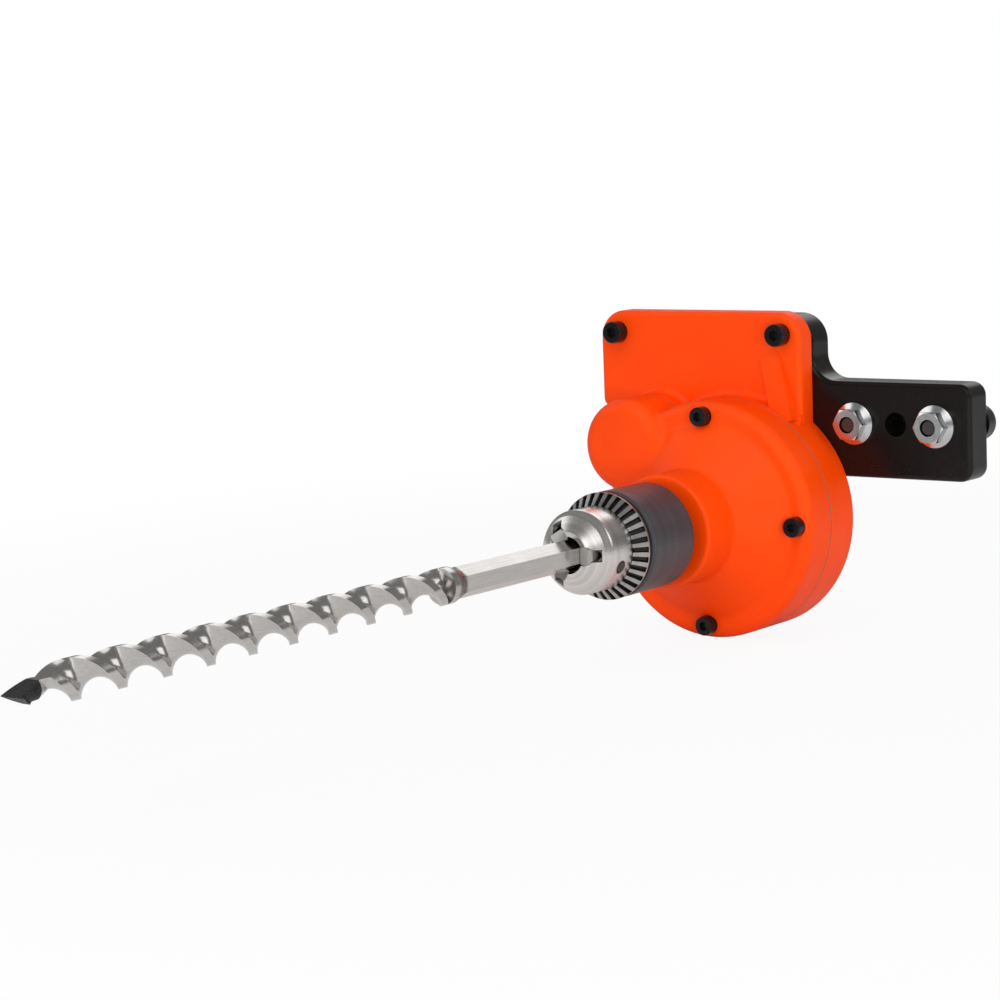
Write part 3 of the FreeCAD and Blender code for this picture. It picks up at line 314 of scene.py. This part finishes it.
def turned_group():
    """Fine rings left by turning, about the Y axis of the given coordinates."""
    tree, inside, out = new_group("Turned Rings", [("Vector", "Vector", None), ("Scale", "Float", 3000.0)],
                                  ["Height", "Band"])
    parts = add(tree, "SeparateXYZ", {"Vector": inside["Vector"]}).outputs
    along = math_node(tree, "MULTIPLY_ADD", parts["Y"], 1.3, axis_distance(tree, parts))
    wide = math_node(tree, "MULTIPLY", inside["Scale"], 0.12)
    for label, scale, detail in (("Height", inside["Scale"], 3.0), ("Band", wide, 2.0)):
        rings = add(tree, "TexNoise", {"W": along, "Scale": scale, "Detail": detail}, noise_dimensions="1D")
        tree.links.new(rings.outputs["Fac"], out[label])
    return tree


def smudge_group():
    """Handling marks and thin oil: slow patches with a finer break-up."""
    tree, inside, out = new_group("Smudges", [("Vector", "Vector", None), ("Scale", "Float", 60.0)], ["Mask"])
    slow = noise(tree, inside["Vector"], inside["Scale"], detail=3.0, Distortion=0.6)
    fine = noise(tree, inside["Vector"], math_node(tree, "MULTIPLY", inside["Scale"], 9.0), detail=5.0)
    mask = ranged(tree, math_node(tree, "MULTIPLY_ADD", fine, 0.35, slow), *SMUDGE_PATCH)
    tree.links.new(mask, out["Mask"])
    return tree


def grain_group():
    """A rough cast or forged skin: pits on a lumpy ground."""
    tree, inside, out = new_group("Cast Grain", [("Vector", "Vector", None), ("Scale", "Float", 900.0)],
                                  ["Height", "Pits"])
    lumps = noise(tree, inside["Vector"], inside["Scale"], detail=6.0, Roughness=0.65)
    cells = add(tree, "TexVoronoi", {"Vector": inside["Vector"],
                                     "Scale": math_node(tree, "MULTIPLY", inside["Scale"], 0.7)})
    pits = ranged(tree, cells.outputs["Distance"], *PIT_EDGE)
    tree.links.new(math_node(tree, "MULTIPLY_ADD", pits, 0.5, lumps), out["Height"])
    tree.links.new(pits, out["Pits"])
    return tree


GROUPS = {"wear": edge_wear_group, "recess": recess_group, "peel": peel_group, "turned": turned_group,
          "smudge": smudge_group, "grain": grain_group}
built_groups = {}


def effect(tree, name, **inputs):
    """A shared effect placed in a material, with its own values."""
    if name not in built_groups:
        built_groups[name] = GROUPS[name]()
    node = tree.nodes.new("ShaderNodeGroup")
    node.node_tree = built_groups[name]
    for label, value in inputs.items():
        set_or_link(tree, node.inputs[label.capitalize()], value)
    return node.outputs


def new_finish(name, shader_values):
    """A material with one Principled shader. Returns the material, its tree, shader and object coordinates."""
    material = bpy.data.materials.new(name)
    material.use_nodes = True
    tree = material.node_tree
    shader = tree.nodes["Principled BSDF"]
    for label, value in shader_values.items():
        shader.inputs[label].default_value = value
    place = add(tree, "TexCoord").outputs["Object"]
    return material, tree, shader, place


def about_spindle(tree, place):
    """Object coordinates moved so that the spindle axis is their Y axis."""
    return add(tree, "Mapping", {"Vector": place, "Location": -face_centre}).outputs[0]


def bumped(tree, shader, height, distance):
    """Turns the shader's normal by a height, whose full range stands for the distance."""
    bump = add(tree, "Bump", {"Height": height, "Distance": distance})
    tree.links.new(bump.outputs[0], shader.inputs["Normal"])


def lighter(colour, factor):
    """A colour times a factor, which may be under one, kept within white."""
    return tuple(min(1.0, channel * factor) for channel in colour)


def half_width(node):
    """Half the width of a solid, which is its radius if it is round about the spindle."""
    low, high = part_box(node)
    return (high[0] - low[0]) / 2


# Finishes
def gloss_paint(name, colour, worn, paint, coat, roughness, shine):
    """Sprayed gloss paint: orange peel, slow colour drift, rubbed edges and a little painted shade in recesses."""
    material, tree, shader, place = new_finish(name, {"Coat Weight": coat, "Coat Roughness": 0.16,
                                                      "Specular IOR Level": shine})
    peel = effect(tree, "peel", vector=place, scale=paint.peel_scale)
    smudge = effect(tree, "smudge", vector=place, scale=35.0)["Mask"]
    wear = effect(tree, "wear", vector=place, radius=0.0007, breakup=900.0, amount=paint.wear)["Mask"]
    recess = effect(tree, "recess", reach=0.003, strength=0.5)["Mask"]
    body = mixed(tree, ranged(tree, peel["Wave"], *MIDTONES), lighter(colour, 0.96), lighter(colour, 1.05))
    # Painted shade: recesses darken the paint to about half its colour.
    shaded = mixed(tree, recess, body, lighter(colour, 0.55))
    tree.links.new(mixed(tree, wear, shaded, worn), shader.inputs["Base Color"])
    rough = math_node(tree, "MULTIPLY_ADD", smudge, 0.10, roughness)
    tree.links.new(math_node(tree, "MULTIPLY_ADD", wear, 0.2, rough), shader.inputs["Roughness"])
    bumped(tree, shader, peel["Height"], 0.00002)
    return material


def machined(name, colour, roughness, metallic=1.0, rings=2600.0, wear=0.5, recess_shade=0.6, anisotropy=0.0,
             reach=0.0015, gaps=None):
    """Turned or ground steel, ringed about the spindle axis, with marks, bright edges and shade painted dark into
    recesses and gaps.
    """
    material, tree, shader, place = new_finish(name, {"Metallic": metallic, "Anisotropic": anisotropy})
    lathe = effect(tree, "turned", vector=about_spindle(tree, place), scale=rings)
    smudge = effect(tree, "smudge", vector=place, scale=90.0)["Mask"]
    rubbed = effect(tree, "wear", vector=place, radius=0.0004, breakup=1500.0, amount=wear)["Mask"]
    # Painted shade: a mask of narrow recesses, at the given strength.
    recess = effect(tree, "recess", reach=reach, strength=recess_shade)["Mask"]
    banded = mixed(tree, ranged(tree, lathe["Band"], *MIDTONES), lighter(colour, 0.9), lighter(colour, 1.08))
    edged = mixed(tree, rubbed, banded, lighter(colour, 1.5))
    if gaps:
        # Painted shade in the gaps: it darkens the colour almost to black and joins the recess mask.
        gap_shade = gaps(tree, place)
        edged = mixed(tree, gap_shade, edged, lighter(colour, 0.07))
        recess = math_node(tree, "MAXIMUM", gap_shade, recess)
    # Painted shade: recesses and gaps darken the colour towards black.
    tree.links.new(mixed(tree, recess, edged, lighter(colour, 0.15)), shader.inputs["Base Color"])
    rough = math_node(tree, "MULTIPLY_ADD", smudge, 0.06, roughness)
    tree.links.new(math_node(tree, "MULTIPLY_ADD", recess, 0.3, rough), shader.inputs["Roughness"])
    if anisotropy:
        tangent = add(tree, "Tangent", direction_type="RADIAL", axis="Y")
        tree.links.new(tangent.outputs[0], shader.inputs["Tangent"])
    bumped(tree, shader, lathe["Height"], 0.0000008)
    return material


def between_teeth(tree, place):
    """A mask of painted shade in the gaps between the ring's teeth: how far a point lies under the cone of the
    tooth tops.
    """
    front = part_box("toothed_ring")[0][1]
    inner = half_width("chuck_body")
    rise, run = half_width("toothed_ring") - inner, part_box("chuck_sleeve")[0][1] - RING_RIM - front
    length = math.hypot(rise, run)
    parts = add(tree, "SeparateXYZ", {"Vector": about_spindle(tree, place)}).outputs
    beyond = math_node(tree, "SUBTRACT", axis_distance(tree, parts), inner)
    behind = math_node(tree, "SUBTRACT", parts["Y"], front - face_centre.y)
    height = math_node(tree, "SUBTRACT", math_node(tree, "MULTIPLY", beyond, run / length),
                       math_node(tree, "MULTIPLY", behind, rise / length))
    return ranged(tree, height, *TOOTH_GAP, 1.0, 0.0)


def under_ring(tree, place):
    """A mask of the shaded groove where the sleeve meets the toothed ring."""
    along = add(tree, "SeparateXYZ", {"Vector": about_spindle(tree, place)}).outputs["Y"]
    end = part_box("chuck_sleeve")[0][1] - face_centre.y
    return ranged(tree, along, end + SLEEVE_GROOVE[0], end + SLEEVE_GROOVE[1], 1.0, 0.0)


def polished_auger(name, colour):
    """Polished steel with streaks that run with the twist, and painted shade on the collar where the shank ends.
    """
    material, tree, shader, place = new_finish(name, {"Metallic": 1.0})
    centred = about_spindle(tree, place)
    stretched = add(tree, "Mapping", {"Vector": centred, "Scale": (1.0, 0.05, 1.0)}).outputs[0]
    streak = noise(tree, stretched, scale=1400.0, detail=3.0)
    smudge = effect(tree, "smudge", vector=place, scale=70.0)["Mask"]
    rubbed = effect(tree, "wear", vector=place, radius=0.0005, breakup=1200.0, amount=0.6)["Mask"]
    recess = effect(tree, "recess", reach=0.004, strength=0.35)["Mask"]
    toned = mixed(tree, ranged(tree, streak, *MIDTONES), lighter(colour, 0.93), lighter(colour, 1.06))
    edged = mixed(tree, rubbed, toned, lighter(colour, 1.5))
    along = add(tree, "SeparateXYZ", {"Vector": centred}).outputs["Y"]
    from_collar = math_node(tree, "ABSOLUTE", math_node(tree, "SUBTRACT", along, COLLAR_PLACE))
    collar = ranged(tree, from_collar, *COLLAR_SHADE, 0.8, 0.0)
    # Painted shade: the collar and the recesses darken the steel to about a third of its colour.
    dark = mixed(tree, math_node(tree, "MAXIMUM", recess, collar), edged, lighter(colour, 0.35))
    tree.links.new(dark, shader.inputs["Base Color"])
    rough = math_node(tree, "MULTIPLY_ADD", smudge, 0.06, 0.12)
    rough = math_node(tree, "MULTIPLY_ADD", collar, 0.4, rough)
    tree.links.new(math_node(tree, "MULTIPLY_ADD", streak, 0.05, rough), shader.inputs["Roughness"])
    bumped(tree, shader, streak, 0.0000015)
    return material


def rough_black(name, colour, scale, depth, roughness, metallic):
    """Blackened or moulded skin with a grain, a little shine on its high spots."""
    material, tree, shader, place = new_finish(name, {"Metallic": metallic})
    grain = effect(tree, "grain", vector=place, scale=scale)
    rubbed = effect(tree, "wear", vector=place, radius=0.0004, breakup=1200.0, amount=0.6)["Mask"]
    toned = mixed(tree, grain["Pits"], lighter(colour, 0.6), lighter(colour, 1.3))
    tree.links.new(mixed(tree, rubbed, toned, lighter(colour, 4.0)), shader.inputs["Base Color"])
    rough = math_node(tree, "MULTIPLY_ADD", grain["Pits"], -0.18, roughness + 0.1)
    tree.links.new(rough, shader.inputs["Roughness"])
    bumped(tree, shader, grain["Height"], depth)
    return material


def dress(names, material):
    """Gives every slot of these solids the material."""
    for name in names:
        for slot in frame["nodes"][name].material_slots:
            slot.material = material


def from_bmesh(shape, name):
    """An object in the scene made of a bmesh, which is used up."""
    mesh = bpy.data.meshes.new(name)
    shape.to_mesh(mesh)
    shape.free()
    piece = bpy.data.objects.new(name, mesh)
    bpy.context.scene.collection.objects.link(piece)
    return piece


# Studs
def outline(shape, profile, x):
    """A row of vertices beside a line along Y at x, from (radius, y) points, and the edges between them."""
    row = [shape.verts.new((x + radius, y, 0)) for radius, y in profile]
    return row + [shape.edges.new(pair) for pair in zip(row, row[1:])]


def spin_profile(shape, profile, x, sides):
    """A closed body of revolution about a line along Y."""
    bmesh.ops.spin(shape, geom=outline(shape, profile, x), cent=(x, 0, 0), axis=(0, 1, 0), angle=math.tau,
                   steps=sides, dvec=(0, 0, 0), use_merge=True, use_duplicate=False)


def spin_thread(shape, reach, y0, y1, x, threads):
    """A V ridge wound round a line along Y, from y0 to y1, standing out to the radius reach."""
    pitch, foot = threads.pitch, reach - threads.depth * RIDGE_SINK
    turns = int((y1 - y0) / pitch) - 1
    profile = [(foot, y0), (reach, y0 + pitch * CREST[0]), (reach, y0 + pitch * CREST[1]), (foot, y0 + pitch)]
    bmesh.ops.spin(shape, geom=outline(shape, profile, x), cent=(x, 0, 0), axis=(0, 1, 0),
                   angle=math.tau * turns, steps=threads.sides * turns, dvec=(0, pitch / threads.sides, 0),
                   use_duplicate=False)


def threaded_stud(shape, x, y0, y1, threads):
    """A stud whose two ends are threaded: one in the nut, and one that enters the saw."""
    chamfer, root = threads.chamfer, threads.depth
    nut_root, saw_radius = threads.nut_thread - root, mounts["saw_studs"]["dims"]["stud_r_mm"] / 1000
    saw_root = saw_radius - root
    nut_side = y0 + threads.nut_end
    profile = [(0, y0), (nut_root - chamfer / 2, y0), (nut_root, y0 + chamfer / 2), (nut_root, nut_side),
               (threads.shank, nut_side), (threads.shank, 0), (saw_root, 0), (saw_root, y1 - chamfer),
               (saw_root - chamfer, y1), (0, y1)]
    spin_profile(shape, profile, x, threads.sides)
    spin_thread(shape, threads.nut_thread, y0 + chamfer / 2, nut_side, x, threads)
    spin_thread(shape, saw_radius, 0, y1 - chamfer, x, threads)


def stud_pair(threads):
    """Both saw studs as one piece, in the place of the plain ones."""
    low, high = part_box("mount_studs")
    half = mounts["saw_studs"]["dims"]["pcd_mm"] / 2000
    shape = bmesh.new()
    for x in (-half, half):
        threaded_stud(shape, x, low[1], high[1], threads)
    bmesh.ops.remove_doubles(shape, verts=shape.verts, dist=1e-6)
    bmesh.ops.recalc_face_normals(shape, faces=shape.faces)
    studs = from_bmesh(shape, "threaded_studs")
    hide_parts("mount_studs")
    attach(studs, "gear_case")
    return studs


class OBJECT_OT_auger_case(bpy.types.Operator):
    """Paint the gear case and give the gasket its fibre"""

    bl_idname = "object.auger_case"
    bl_label = "Gear Case"

    def execute(self, context):
        paint = context.scene.auger_paint
        orange = gloss_paint("orange_paint", paint.orange, paint.orange, paint,
                             coat=0.08, roughness=0.42, shine=0.15)
        dress(("front_cover", "rear_casing"), orange)
        gasket = rough_black("gasket_sheet", (0.13, 0.085, 0.06), scale=1800.0, depth=0.00003,
                             roughness=0.8, metallic=0.0)
        dress(("cover_gasket",), gasket)
        return {"FINISHED"}


class OBJECT_OT_auger_arm(bpy.types.Operator):
    """Finish the mounting arm and the bar plate"""

    bl_idname = "object.auger_arm"
    bl_label = "Mounting Arm"

    def execute(self, context):
        paint = context.scene.auger_paint
        black = gloss_paint("black_gloss", paint.black, (0.06, 0.055, 0.05), paint,
                            coat=0.15, roughness=0.24, shine=0.25)
        dress(("mount_bracket",), black)
        dark = machined("dark_steel", (0.10, 0.10, 0.105), roughness=0.32, rings=900.0, recess_shade=0.3)
        dress(("bar_plate",), dark)
        return {"FINISHED"}


class OBJECT_OT_auger_fasteners(bpy.types.Operator):
    """Finish the screws and nuts, and cut the threads of the studs"""

    bl_idname = "object.auger_fasteners"
    bl_label = "Fasteners"

    def execute(self, context):
        oxide = rough_black("black_oxide", context.scene.auger_steel.oxide, scale=1500.0, depth=0.000006,
                            roughness=0.3, metallic=0.7)
        dress(("cover_screws", "plate_screws", "rear_screw"), oxide)
        zinc = machined("bright_zinc", (0.70, 0.71, 0.72), roughness=0.18, rings=1200.0, recess_shade=0.9)
        dress(("flange_nuts",), zinc)
        studs = stud_pair(context.scene.auger_threads)
        dull = machined("stud_steel", (0.16, 0.16, 0.163), roughness=0.32, rings=1800.0, wear=0.6)
        studs.data.materials.append(dull)
        return {"FINISHED"}


class OBJECT_OT_auger_chuck(bpy.types.Operator):
    """Finish the chuck's body, sleeve, toothed ring and jaws"""

    bl_idname = "object.auger_chuck"
    bl_label = "Chuck"

    def execute(self, context):
        steel = context.scene.auger_steel
        # The recess and gap masks paint shade into the chuck's bore, jaw slots, teeth and sleeve groove.
        dress(("chuck_body",), machined("satin_chrome", lighter(steel.bright, 1.35), roughness=0.22,
                                        rings=2200.0, recess_shade=1.0, anisotropy=0.6, reach=0.005))
        dress(("chuck_sleeve",), machined("sleeve_grey", steel.sleeve, roughness=0.33, metallic=0.5,
                                          rings=1500.0, gaps=under_ring))
        dress(("toothed_ring",), machined("ring_steel", lighter(steel.bright, 0.9), roughness=0.3,
                                          wear=0.8, recess_shade=1.0, gaps=between_teeth))
        dress(("jaw_1", "jaw_2", "jaw_3"), machined("jaw_steel", lighter(steel.bright, 1.1), roughness=0.28))
        dress(("chuck_screw", "jaw_nut"), machined("inner_steel", (0.3, 0.3, 0.3), roughness=0.35))
        return {"FINISHED"}


class OBJECT_OT_auger_bit(bpy.types.Operator):
    """Polish the auger and blacken its screw point"""

    bl_idname = "object.auger_bit"
    bl_label = "Auger Bit"

    def execute(self, context):
        bright = context.scene.auger_steel.bright
        dress(("auger_bit",), polished_auger("auger_steel", lighter(bright, 1.02)))
        dress(("auger_tip",), rough_black("tip_black", (0.022, 0.022, 0.023), scale=1500.0, depth=0.0006,
                                          roughness=0.5, metallic=0.6))
        return {"FINISHED"}


class OBJECT_OT_auger_drive(bpy.types.Operator):
    """Finish the gears, shafts, bearings and seals inside the case, and the sprocket behind it"""

    bl_idname = "object.auger_drive"
    bl_label = "Drive"

    def execute(self, context):
        for names, finish in (
                (("drive_gear", "pinion_shaft"),
                 machined("gear_steel", (0.33, 0.325, 0.32), roughness=0.28, rings=1600.0)),
                (("spindle", "dowel_pins"),
                 machined("ground_steel", context.scene.auger_steel.bright, roughness=0.18, rings=3000.0)),
                (("gear_key", "sprocket_key", "gear_circlip"),
                 machined("spring_steel", (0.09, 0.09, 0.12), roughness=0.35)),
                (("drive_sprocket", "sprocket_spacer", "sprocket_washer"),
                 machined("sprocket_steel", (0.17, 0.165, 0.16), roughness=0.34, wear=0.9)),
                (("sprocket_nut",),
                 machined("nut_zinc", (0.7, 0.7, 0.71), roughness=0.2, rings=1200.0)),
                ([name for name in frame["nodes"] if "_bearing_" in name],
                 machined("bearing_steel", (0.62, 0.62, 0.63), roughness=0.12)),
                (("spindle_seal", "pinion_seal"),
                 rough_black("seal_rubber", (0.03, 0.03, 0.03), scale=1300.0, depth=0.00002,
                             roughness=0.7, metallic=0.0))):
            dress(names, finish)
        return {"FINISHED"}


class OBJECT_OT_auger_stage(bpy.types.Operator):
    """Lay the pale floor, hang the lamps and set the camera"""

    bl_idname = "object.auger_stage"
    bl_label = "Stage"

    def execute(self, context):
        stage = context.scene.auger_stage
        lay_floor(stage)
        light_sky(stage)
        hang_lamps(stage)
        set_camera(stage)
        context.scene.view_settings.view_transform = "Standard"
        return {"FINISHED"}


# Stage
def with_backdrop(tree, lit, plain, share, reflected):
    """Shows the plain backdrop to the camera and through glass, and in reflections by the share reflected."""
    path = add(tree, "LightPath").outputs
    mirrored = math_node(tree, "MULTIPLY", path["Is Glossy Ray"], reflected)
    seen = math_node(tree, "MAXIMUM", path["Is Camera Ray"],
                     math_node(tree, "MAXIMUM", mirrored, path["Is Transmission Ray"]))
    return add(tree, "MixShader", {0: math_node(tree, "MULTIPLY", seen, share), 1: lit, 2: plain}).outputs[0]


def lay_floor(stage):
    """A wide pale floor under the lowest point, which the camera sees as almost plain white."""
    shape = bmesh.new()
    bmesh.ops.create_grid(shape, x_segments=1, y_segments=1, size=FLOOR_HALF_WIDTH)
    floor = from_bmesh(shape, "floor")
    floor.location = (0, 0, cad_box[0].z - FLOOR_GAP)
    material, tree, shader, place = new_finish(
        "pale_floor", {"Base Color": (*stage.floor_colour, 1.0), "Roughness": 0.9})
    white = add(tree, "Emission", {"Color": WHITE, "Strength": 1.0}).outputs[0]
    away = add(tree, "VectorMath", {0: place}, operation="LENGTH").outputs["Value"]
    share = ranged(tree, away, *FLOOR_FADE, stage.floor_white, 1.0)
    final = with_backdrop(tree, shader.outputs[0], white, share, stage.floor_reflected)
    tree.links.new(final, tree.nodes["Material Output"].inputs["Surface"])
    floor.data.materials.append(material)


def light_sky(stage):
    """Even light all round. The steel reflects bright panels with dark gaps, and the camera sees white."""
    world = bpy.data.worlds.new("studio")
    bpy.context.scene.world = world
    world.use_nodes = True
    tree = world.node_tree
    way = add(tree, "SeparateXYZ", {"Vector": add(tree, "TexCoord").outputs["Generated"]}).outputs
    turn = math_node(tree, "ARCTAN2", way["Y"], way["X"])
    panels = ranged(tree, math_node(tree, "SINE", math_node(tree, "MULTIPLY", turn, stage.panels)), *PANEL_SIDE)
    foot = ranged(tree, way["Z"], *PANEL_FOOT)
    top = ranged(tree, way["Z"], *PANEL_TOP, 1.0, 0.0)
    band = math_node(tree, "MULTIPLY", math_node(tree, "MULTIPLY", foot, top), panels)
    glow = math_node(tree, "MULTIPLY_ADD", band, 1.0 - stage.gap_light, stage.gap_light)
    even = tree.nodes["Background"]
    even.inputs["Strength"].default_value = stage.ambient
    even.inputs["Color"].default_value = WHITE
    glossy = add(tree, "LightPath").outputs["Is Glossy Ray"]
    mirrored = math_node(tree, "MULTIPLY", glow, stage.sky_light)
    strength = math_node(tree, "MULTIPLY_ADD", glossy, math_node(tree, "SUBTRACT", mirrored, 1.0), 1.0)
    seen = add(tree, "Background", {"Color": WHITE, "Strength": strength}).outputs[0]
    final = with_backdrop(tree, even.outputs[0], seen, share=1.0, reflected=1.0)
    tree.links.new(final, tree.nodes["World Output"].inputs["Surface"])


def aim(holder, place, target):
    """Sets an object at a place, with its front towards the target."""
    holder.location = place
    holder.rotation_euler = (target - place).to_track_quat("-Z", "Y").to_euler()


def area_lamp(name, place, size, power, target):
    """A soft rectangular lamp that reflections don't see."""
    lamp = bpy.data.lights.new(name, "AREA")
    lamp.shape = "RECTANGLE"
    lamp.size, lamp.size_y = size
    lamp.energy = power
    holder = bpy.data.objects.new(name, lamp)
    aim(holder, place, target)
    holder.visible_glossy = False
    bpy.context.scene.collection.objects.link(holder)


def dark_card(name, place, size, target):
    """A black card seen by reflections alone, which gives the bright steel something dark to reflect."""
    shape = bmesh.new()
    bmesh.ops.create_grid(shape, x_segments=1, y_segments=1, size=0.5)
    bmesh.ops.scale(shape, verts=shape.verts, vec=(*size, 1))
    card = from_bmesh(shape, name)
    aim(card, place, target)
    card.visible_camera = False
    card.visible_shadow = False
    card.visible_diffuse = False
    card.data.materials.append(new_finish(name, {"Base Color": CARD_BLACK, "Roughness": 0.9})[0])


def hang_lamps(stage):
    """Lamps above, to the right, in front and behind, and dark cards for the gloss and the steel."""
    middle = (cad_box[0] + cad_box[1]) / 2
    key, fill = stage.key_light, stage.fill_light
    # Each has its name, what it faces, its place from there, its width and height, and its power.
    for name, target, offset, size, power in (
            ("key_lamp", middle, (0.1, -0.9, 1.3), (1.2, 1.2), key),
            ("side_lamp", middle, (1.4, -0.2, 0.4), (0.6, 1.4), key * 1.2),
            ("fill_lamp", middle, (-0.1, -1.5, 0.15), (1.2, 0.3), fill),
            ("low_lamp", face_centre, (0.75, -0.75, 0.05), (0.5, 0.2), fill * 0.6),
            ("back_lamp", middle, (-1.0, 0.9, 0.9), (1.0, 1.0), key * 0.7)):
        area_lamp(name, target + Vector(offset), size, power, target)
    for name, target, offset, size in (
            ("dark_card_low", middle, (0.5, -0.9, -0.25), (1.6, 0.25)),
            ("dark_card_front", face_centre, (-0.55, -0.83, -0.02), (1.1, 0.4))):
        dark_card(name, target + Vector(offset), size, target)


def set_camera(stage):
    """The camera at the photograph's place, turned by yaw, pitch and roll."""
    yaw, pitch, roll = stage.camera_turn
    back = Vector((math.sin(yaw) * math.cos(pitch), -math.cos(yaw) * math.cos(pitch), math.sin(pitch)))
    right = (-back).cross(Vector((0, 0, 1))).normalized()
    up = right.cross(-back)
    side = right * math.cos(roll) + up * math.sin(roll)
    top = up * math.cos(roll) - right * math.sin(roll)
    view = bpy.data.cameras.new("camera")
    view.sensor_width = SENSOR_WIDTH_MM
    view.lens = stage.lens
    view.clip_start, view.clip_end = 0.01, 50.0
    holder = bpy.data.objects.new("camera", view)
    turned = Matrix((side, top, back)).transposed().to_4x4()
    holder.matrix_world = Matrix.Translation(face_centre + Vector(stage.camera_offset)) @ turned
    bpy.context.scene.collection.objects.link(holder)
    bpy.context.scene.camera = holder


SETTINGS = {"auger_paint": AugerPaint, "auger_steel": AugerSteel, "auger_threads": AugerThreads,
            "auger_stage": AugerStage}
OPERATORS = (OBJECT_OT_auger_case, OBJECT_OT_auger_arm, OBJECT_OT_auger_fasteners, OBJECT_OT_auger_chuck,
             OBJECT_OT_auger_bit, OBJECT_OT_auger_drive, OBJECT_OT_auger_stage)


class VIEW3D_PT_auger(bpy.types.Panel):
    """The settings and the steps that dress the auger attachment"""

    bl_idname = "VIEW3D_PT_auger"
    bl_label = "Auger Attachment"
    bl_space_type = "VIEW_3D"
    bl_region_type = "UI"
    bl_category = "Auger"

    def draw(self, context):
        for name in SETTINGS:
            settings = getattr(context.scene, name)
            box = self.layout.box()
            for label in settings.bl_rna.properties.keys():
                if label not in ("rna_type", "name"):
                    box.prop(settings, label)
        for step in OPERATORS:
            self.layout.operator(step.bl_idname)


CLASSES = (*SETTINGS.values(), *OPERATORS, VIEW3D_PT_auger)


def register():
    for item in CLASSES:
        bpy.utils.register_class(item)
    for name, group in SETTINGS.items():
        setattr(bpy.types.Scene, name, PointerProperty(type=group))


def unregister():
    for name in SETTINGS:
        delattr(bpy.types.Scene, name)
    for item in reversed(CLASSES):
        bpy.utils.unregister_class(item)


def main():
    """Registers the add-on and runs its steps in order."""
    register()
    for step in OPERATORS:
        group, name = step.bl_idname.split(".")
        getattr(getattr(bpy.ops, group), name)()


if __name__ == "__main__":
    main()
